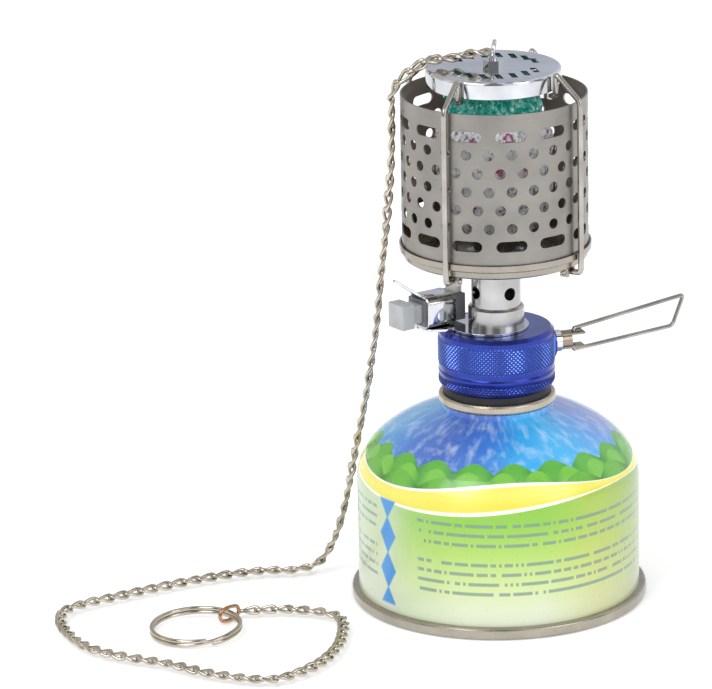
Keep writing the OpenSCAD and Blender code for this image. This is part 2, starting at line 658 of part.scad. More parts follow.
module sweep(line, r, sides) {
    n = len(line);
    ref = [0.3, 0.95, 0.1];
    tangents = [for (i = [0 : n - 1]) unit(line[min(i + 1, n - 1)] - line[max(i - 1, 0)])];
    points = [for (i = [0 : n - 1])
        let (u = unit(cross(tangents[i], abs(tangents[i] * ref) > 0.9 ? [0, 0, 1] : [0, 0.2, 1])),
             v = cross(tangents[i], u))
        for (k = [0 : sides - 1]) line[i] + r * (cos(360 * k / sides) * u + sin(360 * k / sides) * v)];
    faces = concat(
        [[for (k = [sides - 1 : -1 : 0]) k]],
        [for (i = [0 : n - 2]) for (k = [0 : sides - 1])
            [i * sides + k, i * sides + (k + 1) % sides, (i + 1) * sides + (k + 1) % sides, (i + 1) * sides + k]],
        [[for (k = [0 : sides - 1]) (n - 1) * sides + k]]);
    polyhedron(points, faces);
}

module chain() color("tan") sweep(CHAIN_LINE, chain_d / 2, 8);

module link_at(x, y, z, turn, tilt) translate([x, y, z]) rotate([0, tilt, turn]) rotate([90, 0, 0]) children();

module joining_link() color("sandybrown")
    link_at(-82.6, -26.6, link_h + 0.6, 46, 0) {
        for (s = [-1, 1]) rod([-1.8, s * link_h, 0], [1.8, s * link_h, 0], 0.6);
        for (s = [-1, 1]) translate([s * 1.8, 0, 0]) rotate([0, 0, s * -90])
            rotate_extrude(angle = 180) translate([link_h, 0]) circle(r = 0.6, $fn = 24);
    }

module split_ring() color("silver") translate(RING) rotate([0, 0, 46]) rotate([0, -2.8, 0])
    for (k = [0, 1]) translate([0, 0, ring_wire * (k + 0.5) + 0.7])
        rotate_extrude($fn = 96) translate([ring_r - ring_wire / 2, 0]) circle(d = ring_wire, $fn = 16);

// Spare mantle
packet_low_z = nozzle_top_z + 0.2;
packet_top_z = hood_top_z - 4;
module packet_profile(gap) polygon([[0, packet_low_z + gap], [packet_r - 4 - gap, packet_low_z + gap],
    [packet_r - 1 - gap, packet_low_z + 8], [packet_r - gap, packet_low_z + 24],
    [packet_r - gap, packet_top_z - 5], [packet_r - 2 - gap, packet_top_z - gap], [0, packet_top_z - gap]]);

module mantle() color("white") {
    r = packet_r - 4.5;
    h = 0.7 * (packet_top_z - packet_low_z);
    translate([0, 0, packet_low_z + packet_t]) rotate_extrude()
        polygon([[0, 0], [0.7 * r, 0], [r, 0.25 * h], [r, 0.8 * h], [0.7 * r, h], [0, h]]);
}

module mantle_packet() color("mediumaquamarine") rotate_extrude($fn = 48) difference() {
    packet_profile(0);
    packet_profile(packet_t);
}

can_shell();
can_base();
valve_cup();
cartridge_gasket();
cartridge_housing();
cartridge_stem();
cartridge_spring();
seal_ring();
valve_body();
depressor_pin();
pin_seal();
gas_jet();
gland_nut();
valve_spindle();
spindle_seal();
handle_clip();
wire_handle();
collar();
mixing_tube();
burner_nozzle();
burner_gauze();
base_pan();
igniter_bracket();
piezo_case();
piezo_crystal();
piezo_button();
piezo_hammer();
piezo_spring();
electrode_insulator();
electrode_wire();
globe();
cage_wire_1();
cage_wire_2();
cage_wire_3();
cage_wire_4();
hood();
hanging_eye();
eye_nut();
chain();
joining_link();
split_ring();
mantle();
mantle_packet();
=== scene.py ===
# %% [markdown]
# # A mountaineer's gas lantern
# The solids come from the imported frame, in metres, with +Z up and the cartridge standing on the floor.
# This script gives them their finishes and adds the pieces that need modelled meshes.

# %% Frame
import math
import random

import bmesh
import bpy
from mathutils import Matrix, Vector, noise


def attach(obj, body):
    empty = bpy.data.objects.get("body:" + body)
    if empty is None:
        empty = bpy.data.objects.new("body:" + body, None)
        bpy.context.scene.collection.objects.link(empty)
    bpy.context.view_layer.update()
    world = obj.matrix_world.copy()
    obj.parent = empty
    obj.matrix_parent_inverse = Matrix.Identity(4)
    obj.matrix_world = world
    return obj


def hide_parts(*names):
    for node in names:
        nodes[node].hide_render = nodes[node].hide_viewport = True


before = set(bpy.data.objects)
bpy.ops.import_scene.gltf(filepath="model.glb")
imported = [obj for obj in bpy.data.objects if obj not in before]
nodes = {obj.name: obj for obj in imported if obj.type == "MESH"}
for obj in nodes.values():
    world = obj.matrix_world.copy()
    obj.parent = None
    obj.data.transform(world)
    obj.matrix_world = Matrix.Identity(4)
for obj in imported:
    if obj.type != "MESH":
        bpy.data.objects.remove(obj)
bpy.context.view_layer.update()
MM = 0.001

# %% [markdown]
# Every piece starts from the same few helpers: one that turns a list of points into an object, one that turns
# a half profile about the lantern's axis, and one that runs a round wire along a path.

# %% Mesh helpers
def make_object(name, vertices, faces, smooth=True):
    mesh = bpy.data.meshes.new(name)
    mesh.from_pydata([tuple(v) for v in vertices], [], faces)
    mesh.validate()
    shading = bmesh.new()
    shading.from_mesh(mesh)
    bmesh.ops.recalc_face_normals(shading, faces=shading.faces)
    shading.to_mesh(mesh)
    shading.free()
    piece = bpy.data.objects.new(name, mesh)
    bpy.context.scene.collection.objects.link(piece)
    for polygon in mesh.polygons:
        polygon.use_smooth = smooth
    return piece


def mark_sharp(piece, degrees=35):
    """Edges that turn by more than this many degrees stay crisp."""
    piece.data.set_sharp_from_angle(angle=math.radians(degrees))
    return piece


def turned(name, profile, steps=128, closed=True, sharp=35):
    """A solid of revolution about Z from (radius, height) points in millimetres."""
    count = len(profile)
    vertices = []
    for i in range(steps):
        angle = 2 * math.pi * i / steps
        for radius, height in profile:
            vertices.append((radius * math.cos(angle) * MM, radius * math.sin(angle) * MM, height * MM))
    faces = []
    last = count if closed else count - 1
    for i in range(steps):
        for k in range(last):
            a, b = i * count + k, i * count + (k + 1) % count
            c, d = ((i + 1) % steps) * count + (k + 1) % count, ((i + 1) % steps) * count + k
            faces.append((a, d, c, b))
    return mark_sharp(make_object(name, vertices, faces), sharp)


def curve_frames(points, closed=False):
    """A direction and two sides at each point, carried along the path without twist."""
    count = len(points)
    frames = []
    side = None
    for i in range(count):
        before = points[(i - 1) % count] if closed or i else points[0]
        after = points[(i + 1) % count] if closed or i < count - 1 else points[-1]
        ahead = (after - before).normalized()
        if side is None:
            side = ahead.orthogonal().normalized()
        side = (side - ahead * side.dot(ahead)).normalized()
        frames.append((ahead, side, ahead.cross(side)))
    return frames


def tube_mesh(points, radius, sides=12, closed=False, taper=None):
    """Vertices and faces of a round wire along points, in metres."""
    vertices, faces = [], []
    frames = curve_frames(points, closed)
    count = len(points)
    for i, (point, (ahead, side, up)) in enumerate(zip(points, frames)):
        r = radius * (taper[i] if taper else 1)
        for k in range(sides):
            angle = 2 * math.pi * k / sides
            vertices.append(point + side * (r * math.cos(angle)) + up * (r * math.sin(angle)))
    for i in range(count if closed else count - 1):
        for k in range(sides):
            j, n = (i + 1) % count, (k + 1) % sides
            faces.append((i * sides + k, i * sides + n, j * sides + n, j * sides + k))
    if not closed:
        faces.append(tuple(range(sides))[::-1])
        faces.append(tuple(range((count - 1) * sides, count * sides)))
    return vertices, faces


def rounded_path(corners, bend, steps=7):
    """A polyline in millimetres with each corner replaced by an arc-like bend, in metres."""
    corners = [Vector(c) for c in corners]
    path = [corners[0]]
    for i in range(1, len(corners) - 1):
        before, corner, after = corners[i - 1], corners[i], corners[i + 1]
        reach = min(bend, (before - corner).length * 0.45, (after - corner).length * 0.45)
        start = corner + (before - corner).normalized() * reach
        end = corner + (after - corner).normalized() * reach
        for k in range(steps + 1):
            t = k / steps
            path.append(start * (1 - t) ** 2 + corner * (2 * t * (1 - t)) + end * t * t)
    path.append(corners[-1])
    return [p * MM for p in path]


def ease_ends(points, radius):
    """Short steps at both ends, and the factors that round them off."""
    first, last = points[0], points[-1]
    ahead = (points[1] - first).normalized()
    behind = (points[-2] - last).normalized()
    steps = (0.0, 0.15, 0.5, 1.0)
    head = [first + ahead * radius * s for s in steps]
    tail = [last + behind * radius * s for s in reversed(steps)]
    taper = [math.sqrt(1 - (1 - s) ** 2) if s else 0.25 for s in steps]
    return head + points[1:-1] + tail, taper + [1.0] * (len(points) - 2) + taper[::-1]


def wire(name, corners, diameter, bend=2.0, sides=16):
    """A bent round wire with rounded ends. Sizes are in millimetres."""
    path = rounded_path(corners, bend)
    path, taper = ease_ends(path, diameter / 2 * MM)
    vertices, faces = tube_mesh(path, diameter / 2 * MM, sides, taper=taper)
    return mark_sharp(make_object(name, vertices, faces), 60)


def merged(name, parts, smooth=True):
    """One object from several (vertices, faces) pairs."""
    vertices, faces = [], []
    for part_vertices, part_faces in parts:
        base = len(vertices)
        vertices += part_vertices
        faces += [tuple(base + i for i in face) for face in part_faces]
    return make_object(name, vertices, faces, smooth)


def bevelled(piece, width, segments=2, angle=30):
    edge = piece.modifiers.new("soft_edges", "BEVEL")
    edge.width = width * MM
    edge.segments = segments
    edge.limit_method = "ANGLE"
    edge.angle_limit = math.radians(angle)
    edge.harden_normals = False
    return piece


def carried(piece, body, slot, *replaced):
    """The piece moves with a body and stands for the given nodes. The slot argument is not used."""
    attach(piece, body)
    if replaced:
        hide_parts(*replaced)
    return piece


def polar(radius, degrees, height):
    """A point in millimetres, its direction anticlockwise from +X."""
    angle = math.radians(degrees)
    return Vector((radius * math.cos(angle), radius * math.sin(angle), height))


# %% [markdown]
# ## The camera
# A long lens far away keeps the cartridge's ellipses nearly parallel, as a catalogue picture does. The camera
# looks down by about seventeen degrees, and it is turned and rolled a little.

# %% Camera
def make_camera():
    pan, down, roll = math.radians(-1.539), math.radians(17.26), math.radians(-1.09)
    ahead = Vector((math.sin(pan) * math.cos(down), math.cos(pan) * math.cos(down), -math.sin(down)))
    level = Vector((math.cos(pan), -math.sin(pan), 0))
    lift = level.cross(ahead)
    right = level * math.cos(roll) + lift * math.sin(roll)
    up = lift * math.cos(roll) - level * math.sin(roll)
    data = bpy.data.cameras.new("camera")
    data.lens = 276.8
    data.sensor_width = 36
    data.sensor_fit = "HORIZONTAL"
    data.clip_start = 0.05
    data.clip_end = 30
    camera = bpy.data.objects.new("camera", data)
    bpy.context.scene.collection.objects.link(camera)
    axes = Matrix((right, up, -ahead)).transposed().to_4x4()
    camera.matrix_world = Matrix.Translation((0, -1.6, 0.57744)) @ axes
    bpy.context.scene.camera = camera
    return camera


make_camera()

# %% [markdown]
# ## Finishes
# A finish is a small network of nodes. Colours are written as sRGB hex values, so one function turns them
# to the linear values that Blender works in, and one function adds a node with its settings and links.

# %% Material helpers
def linear(hex_colour):
    values = []
    for i in (0, 2, 4):
        s = int(hex_colour[i:i + 2], 16) / 255
        values.append(s / 12.92 if s <= 0.04045 else ((s + 0.055) / 1.055) ** 2.4)
    return (*values, 1.0)


def add(tree, kind, links=None, **settings):
    """Adds a node. links sets its inputs: a socket is linked, and anything else is a value."""
    node = tree.nodes.new(kind)
    for name, value in settings.items():
        setattr(node, name, value)
    for name, value in (links or {}).items():
        if isinstance(value, bpy.types.NodeSocket):
            tree.links.new(value, node.inputs[name])
        else:
            node.inputs[name].default_value = value
    return node


def new_material(name):
    """An empty material, its tree and its surface shader."""
    material = bpy.data.materials.new(name)
    material.use_nodes = True
    tree = material.node_tree
    tree.nodes.clear()
    shader = add(tree, "ShaderNodeBsdfPrincipled")
    add(tree, "ShaderNodeOutputMaterial", {"Surface": shader.outputs[0]})
    return material, tree, shader


def feed(tree, shader, **inputs):
    """Sets or links the shader's inputs. Underscores in a name stand for spaces."""
    for name, value in inputs.items():
        socket = shader.inputs[name.replace("_", " ")]
        if isinstance(value, bpy.types.NodeSocket):
            tree.links.new(value, socket)
        else:
            socket.default_value = value


def clear(place, colour, share=0.0):
    """A ramp stop that lets the layer below show."""
    return place, colour, share


def ramp_stops(node, stops):
    """Sets a colour ramp's stops from (place, hex colour) pairs or clear() ones."""
    elements = node.color_ramp.elements
    while len(elements) > 1:
        elements.remove(elements[-1])
    for k, (place, colour, *share) in enumerate(stops):
        element = elements[0] if k == 0 else elements.new(place)
        element.position = place
        element.color = (*linear(colour)[:3], share[0] if share else 1.0)
    return node


def laid_over(tree, base, ramp, share=None):
    """The ramp's colour over base, where its alpha says."""
    mask = ramp.outputs["Alpha"] if share is None else share
    return add(tree, "ShaderNodeMix", {0: mask, 6: base, 7: ramp.outputs["Color"]}, data_type="RGBA").outputs[2]


def from_axis(tree, place):
    """How far each point lies from the lantern's axis, in metres."""
    flat = add(tree, "ShaderNodeVectorMath", {0: place, 1: (1, 1, 0)}, operation="MULTIPLY").outputs[0]
    return add(tree, "ShaderNodeVectorMath", {0: flat}, operation="LENGTH").outputs["Value"]


def around_axis(tree, axes):
    """The angle about the axis in radians, zero at the front, and the same as a share of a full turn."""
    behind = add(tree, "ShaderNodeMath", {0: axes["Y"], 1: -1.0}, operation="MULTIPLY").outputs[0]
    angle = add(tree, "ShaderNodeMath", {0: axes["X"], 1: behind}, operation="ARCTAN2").outputs[0]
    turn = add(tree, "ShaderNodeMapRange", {"Value": angle, "From Min": -math.pi, "From Max": math.pi})
    return angle, turn.outputs[0]


def paint(piece, material):
    piece.data.materials.clear()
    piece.data.materials.append(material)
    return piece


def metal(name, dark, light, grain_mm, roughness, bump_mm=0.004, stretch=(1, 1, 1)):
    """A bare or plated metal: its colour drifts between two tones and its gloss follows a fine grain."""
    material, tree, shader = new_material(name)
    place = add(tree, "ShaderNodeTexCoord").outputs["Object"]
    along = add(tree, "ShaderNodeMapping", {"Vector": place, "Scale": stretch}).outputs[0]
    grain = add(tree, "ShaderNodeTexNoise", {"Vector": along, "Scale": 1 / (grain_mm * MM), "Detail": 4.0})
    cloud = add(tree, "ShaderNodeTexNoise", {"Vector": place, "Scale": 1 / (9 * MM), "Detail": 3.0})
    tone = add(tree, "ShaderNodeValToRGB", {"Fac": cloud.outputs["Fac"]})
    ramp_stops(tone, [(0.3, dark), (0.7, light)])
    gloss = add(tree, "ShaderNodeMapRange", {"Value": grain.outputs["Fac"], "From Min": 0.3, "From Max": 0.7,
                                             "To Min": roughness[0], "To Max": roughness[1]})
    relief = add(tree, "ShaderNodeBump", {"Height": grain.outputs["Fac"], "Strength": min(1.0, bump_mm * 60),
                                          "Distance": bump_mm * MM})
    feed(tree, shader, Base_Color=tone.outputs["Color"], Metallic=1.0, Roughness=gloss.outputs[0],
         Normal=relief.outputs[0])
    return material


# %% [markdown]
# ## The metals
# Pressed stainless and drawn wire are grey with a warm cast and a satin gloss. Plating over polished steel is
# close to a mirror. Tinplate is duller and yellower, bare at the seam and lacquered on the cup, and brass and
# copper plate are coloured by the metal itself. All are pure metals to the shader: the tint says which one it
# is, and the roughness, from 0.06 for polished plate to 0.35 for oiled wire, says how it was finished. The
# grain is 0.4 to 0.8 mm, coarser than on the real metal, so that it shows at all.

# %% Metals
pan_steel = metal("pressed_stainless_pan", "9b948a", "aaa399", 0.6, (0.24, 0.29), bump_mm=0.0004)
wire_steel = metal("drawn_stainless_wire", "9b9690", "bab6b0", 0.5, (0.14, 0.26))
handle_steel = metal("drawn_spring_wire", "94918b", "b5b2ab", 0.5, (0.12, 0.24))
clip_steel = metal("rolled_clip_steel", "75695a", "9c8f7e", 0.5, (0.16, 0.28))
turned_steel = metal("turned_stainless", "a9a8a6", "c4c4c3", 0.4, (0.16, 0.28), stretch=(1, 1, 6))
hood_chrome = metal("plated_hood_steel", "c2c4c8", "dadce0", 0.8, (0.06, 0.14))
bright_chrome = metal("plated_bright_steel", "c4c6c9", "dddfe2", 0.6, (0.06, 0.12))
seam_tin = metal("bare_tinplate_seam", "a39d92", "b3ab9d", 0.7, (0.24, 0.28), bump_mm=0.0004)
cup_tin = metal("lacquered_tinplate_cup", "b0a797", "c0b7a7", 0.7, (0.26, 0.3), bump_mm=0.0004)
brass = metal("turned_brass", "a88a4c", "c4a566", 0.4, (0.2, 0.32))
chain_nickel = metal("nickel_plated_chain", "b3aa9b", "d0c8ba", 0.5, (0.08, 0.18))
copper_wire = metal("copper_plated_link", "b08466", "cba084", 0.4, (0.16, 0.28))
spring_steel = metal("oiled_spring_steel", "7c7c7c", "9a9a9a", 0.4, (0.2, 0.35))


# %% [markdown]
# ## Plastics, rubber and ceramic
# The igniter's case and button are taken to be moulded nylon and ABS, whose fine pebbled skin breaks up the
# highlights. The seals are matt nitrile rubber, the electrode stands in fired alumina, and the mantle is woven
# silk. They share one recipe: two close tones, a pebble of about a third of a millimetre, and an index of
# refraction of 1.49, or 1.6 for the ceramic.

# %% Plastics, rubber and ceramic
def moulded(name, dark, light, roughness, grain_mm=0.35, bump_mm=0.012, ior=1.49):
    """A moulded or fired surface: two close tones and a fine pebble."""
    material, tree, shader = new_material(name)
    place = add(tree, "ShaderNodeTexCoord").outputs["Object"]
    pebble = add(tree, "ShaderNodeTexNoise", {"Vector": place, "Scale": 1 / (grain_mm * MM), "Detail": 2.0})
    cloud = add(tree, "ShaderNodeTexNoise", {"Vector": place, "Scale": 1 / (6 * MM), "Detail": 3.0})
    tone = add(tree, "ShaderNodeValToRGB", {"Fac": cloud.outputs["Fac"]})
    ramp_stops(tone, [(0.3, dark), (0.7, light)])
    gloss = add(tree, "ShaderNodeMapRange", {"Value": pebble.outputs["Fac"], "From Min": 0.3, "From Max": 0.7,
                                             "To Min": roughness - 0.06, "To Max": roughness + 0.06})
    relief = add(tree, "ShaderNodeBump", {"Height": pebble.outputs["Fac"], "Strength": 0.4,
                                          "Distance": bump_mm * MM})
    feed(tree, shader, Base_Color=tone.outputs["Color"], Roughness=gloss.outputs[0], IOR=ior,
         Normal=relief.outputs[0])
    return material


grey_plastic = moulded("moulded_grey_abs", "a6a9a9", "b9bcbc", 0.42)
dark_plastic = moulded("moulded_grey_nylon", "6a6b6e", "77787b", 0.36)
black_rubber = moulded("nitrile_rubber", "17171a", "242428", 0.6)
white_ceramic = moulded("fired_alumina", "dcd8cf", "ece9e2", 0.35, ior=1.6)
silk = moulded("woven_mantle_silk", "e2e2dc", "f2f2ee", 0.8)

# %% Finishes of the pieces that keep their solids
KEPT = {
    "can_base": seam_tin, "valve_cup": cup_tin, "cartridge_gasket": black_rubber, "cartridge_housing": brass,
    "cartridge_stem": brass, "cartridge_spring": spring_steel, "seal_ring": black_rubber, "depressor_pin": brass,
    "pin_seal": black_rubber, "gas_jet": brass, "gland_nut": bright_chrome, "valve_spindle": turned_steel,
    "spindle_seal": black_rubber, "handle_clip": clip_steel, "collar": turned_steel, "mixing_tube": turned_steel,
    "burner_nozzle": turned_steel, "burner_gauze": spring_steel, "base_pan": pan_steel,
    "piezo_case": dark_plastic, "piezo_crystal": white_ceramic,
    "piezo_button": grey_plastic, "piezo_hammer": turned_steel, "piezo_spring": spring_steel,
    "electrode_insulator": white_ceramic, "electrode_wire": spring_steel,
    "hood": hood_chrome, "hanging_eye": bright_chrome, "eye_nut": bright_chrome, "mantle": silk,
}


def finish_kept_nodes():
    for name, material in KEPT.items():
        paint(nodes[name], material)
        nodes[name].data.set_sharp_from_angle(angle=math.radians(32))


finish_kept_nodes()

# %% [markdown]
# ## The carrying chain
# A twisted curb chain is made of oval wire links, each twisted by a quarter turn, so that every link passes
# through the next one and the chain still lies flat. Each link is drawn along the route, its two ends turned
# half a twist to either side.

# %% Route of the chain, in millimetres
CHAIN = [(-1.6, 0, 171.7), (-5.4, 1, 171.6), (-9.5, 1.6, 170.4), (-14, 0.6, 169.8), (-19, -1.5, 169.7),
         (-23.5, -3, 168), (-27.4, -3.4, 164.8), (-30.6, -2.8, 160), (-30.9, -1.8, 153), (-31.4, -0.8, 138),
         (-33.2, 0, 118), (-35.2, 1.9, 100), (-37.2, 4, 82), (-40.6, 6.6, 61), (-43.8, 9, 45), (-47.4, 12.8, 26),
         (-50, 15, 16), (-53.2, 17.2, 8), (-57.4, 17.2, 3), (-64, 14.4, 2.1), (-72, 14, 2.1), (-81, 11.7, 2.1),
         (-93, 6.5, 2.1), (-105, -0.5, 2.1), (-117, -8, 2.1), (-127, -14.5, 2.1), (-133, -21, 2.1),
         (-134, -30, 2.1), (-131, -41, 2.1), (-125, -52, 2.1), (-115, -60.5, 2.1), (-100, -67.5, 2.1),
         (-86, -76.5, 2.1), (-70, -82, 2.1), (-60, -77, 2.1), (-51.5, -64, 2.1), (-47.6, -46, 2.1),
         (-49.6, -28, 2.1), (-64, -21.8, 2.1), (-79.3, -23, 2.1)]
LINK_PITCH = 5.1
LINK_WIRE = 1.15
LINK_WIDTH = 3.95


def smooth_route(points, steps=12):
    """A curve through all the points, in metres, with its running length."""
    points = [Vector(p) for p in points]
    path = []
    for i in range(len(points) - 1):
        a, b = points[max(i - 1, 0)], points[i]
        c, d = points[i + 1], points[min(i + 2, len(points) - 1)]
        for k in range(steps):
            t = k / steps
            path.append((2 * b + (c - a) * t + (2 * a - 5 * b + 4 * c - d) * t ** 2
                         + (3 * b - a - 3 * c + d) * t ** 3) * 0.5)
    path.append(points[-1])
    path = [p * MM for p in path]
    lengths = [0.0]
    for a, b in zip(path, path[1:]):
        lengths.append(lengths[-1] + (b - a).length)
    return path, lengths


def at_length(path, lengths, s):
    """The point on the route at running length s."""
    s = min(max(s, 0.0), lengths[-1])
    low, high = 0, len(lengths) - 1
    while high - low > 1:
        middle = (low + high) // 2
        low, high = (middle, high) if lengths[middle] <= s else (low, middle)
    t = (s - lengths[low]) / (lengths[high] - lengths[low])
    return path[low].lerp(path[high], t)


def link_part(centre, ahead, flat, up, roll, around=30):
    """One twisted oval link: its two ends are turned 45 degrees to either side of its middle."""
    half_length = (LINK_PITCH + LINK_WIRE) / 2 * MM
    half_width = (LINK_WIDTH - LINK_WIRE) / 2 * MM
    points = []
    for k in range(around):
        t = 2 * math.pi * k / around
        along = half_length * math.copysign(abs(math.cos(t)) ** 0.85, math.cos(t))
        across = half_width * math.copysign(abs(math.sin(t)) ** 0.75, math.sin(t))
        twist = roll + math.radians(45) * along / half_length
        points.append(centre + ahead * along + (flat * math.cos(twist) + up * math.sin(twist)) * across)
    return tube_mesh(points, LINK_WIRE / 2 * MM, 8, closed=True)


def make_chain():
    rng = random.Random(4)
    path, lengths = smooth_route(CHAIN)
    count = round(lengths[-1] / (LINK_PITCH * MM))
    pitch = lengths[-1] / count
    flat = Vector((0, 1, 0))
    parts = []
    roll = 0.3
    for i in range(count):
        s = (i + 0.5) * pitch
        centre = at_length(path, lengths, s)
        ahead = (at_length(path, lengths, s + pitch / 2) - at_length(path, lengths, s - pitch / 2)).normalized()
        lies = centre.z < 4 * MM
        wish = ahead.cross(Vector((0, 0, 1))) if lies else flat
        flat = (wish - ahead * wish.dot(ahead)).normalized()
        roll = roll * 0.7 + rng.uniform(-0.25, 0.25) * (0.5 if lies else 1)
        parts.append(link_part(centre, ahead, flat, ahead.cross(flat), roll))
    print(f"chain: {count} links, {lengths[-1]:.3f} m")
    return merged("carrying_chain", parts), path, lengths[-1]


chain, chain_path, chain_length = make_chain()
paint(chain, chain_nickel)
carried(chain, "hood", "chain_nickel", "chain")

# %% [markdown]
# The split ring is one length of hard wire wound twice, with both ends left square and lying side by side.
# The joining link between ring and chain is a small closed ring of plated wire.

# %% Split ring and joining link
RING_CENTRE = (-92.3, -36, 0)
RING_TURN = math.radians(46)
RING_TILT = math.radians(-2.8)
RING_RADIUS = 14.2 - 0.65
RING_WIRE = 1.3
LINK_HALF = 2.1


def make_split_ring():
    points = []
    steps = 150
    for k in range(steps + 1):
        share = k / steps
        angle = math.radians(-112) + share * math.radians(712)
        climb = RING_WIRE * min(max((share - 0.45) * 10, 0), 1)
        points.append(Vector((RING_RADIUS * math.cos(angle), RING_RADIUS * math.sin(angle),
                              RING_WIRE * 0.5 + 0.7 + climb)))
    place = (Matrix.Translation(RING_CENTRE) @ Matrix.Rotation(RING_TURN, 4, "Z")
             @ Matrix.Rotation(RING_TILT, 4, "Y"))
    points = [(place @ p) * MM for p in points]
    vertices, faces = tube_mesh(points, RING_WIRE / 2 * MM, 14)
    return mark_sharp(make_object("key_split_ring", vertices, faces), 50)


split_ring = make_split_ring()
paint(split_ring, chain_nickel)
carried(split_ring, "hood", "chain_nickel", "split_ring")


def make_joining_link():
    centre = Vector((-82.6, -26.6, LINK_HALF + 0.6))
    ahead = Vector((math.cos(RING_TURN), math.sin(RING_TURN), 0))
    points = []
    for k in range(40):
        t = 2 * math.pi * k / 40
        stretch = 1.8 * math.copysign(min(abs(math.cos(t)) * 1.6, 1), math.cos(t))
        points.append((centre + ahead * (stretch + LINK_HALF * math.cos(t))
                       + Vector((0, 0, LINK_HALF * math.sin(t)))) * MM)
    vertices, faces = tube_mesh(points, 0.58 * MM, 10, closed=True)
    return make_object("copper_joining_link", vertices, faces)


joining_link = make_joining_link()
paint(joining_link, copper_wire)
carried(joining_link, "hood", "copper_link", "joining_link")

# %% [markdown]
# ## The printed cartridge
# The cartridge is drawn tinplate, printed and varnished before it is formed, so the print follows the dome.
# The print is built in layers from two measures, the angle around the can and the height. Each layer is a
# colour ramp on a measure that has been bent into waves, and the ramp's alpha says where the layer lies.

# %% Where the heights of the lantern lie, in millimetres
RING_TOP = 65.393
BODY_LOW = RING_TOP + 2
BODY_TOP = BODY_LOW + 18.4
COLLAR_TOP = BODY_TOP + 7
PAN_LOW = COLLAR_TOP + 15.7
PAN_TOP = PAN_LOW + 4.5
GLOBE_LOW = PAN_TOP - 1.8
GLOBE_TOP = GLOBE_LOW + 48.4
HOOD_LOW = GLOBE_TOP + 2.7
HOOD_TOP = HOOD_LOW + 5.3
HOOD_RADIUS = 20.6
GLOBE_RADIUS = 28.4
CAN_RADIUS = 43.4
SHOULDER = 44.0


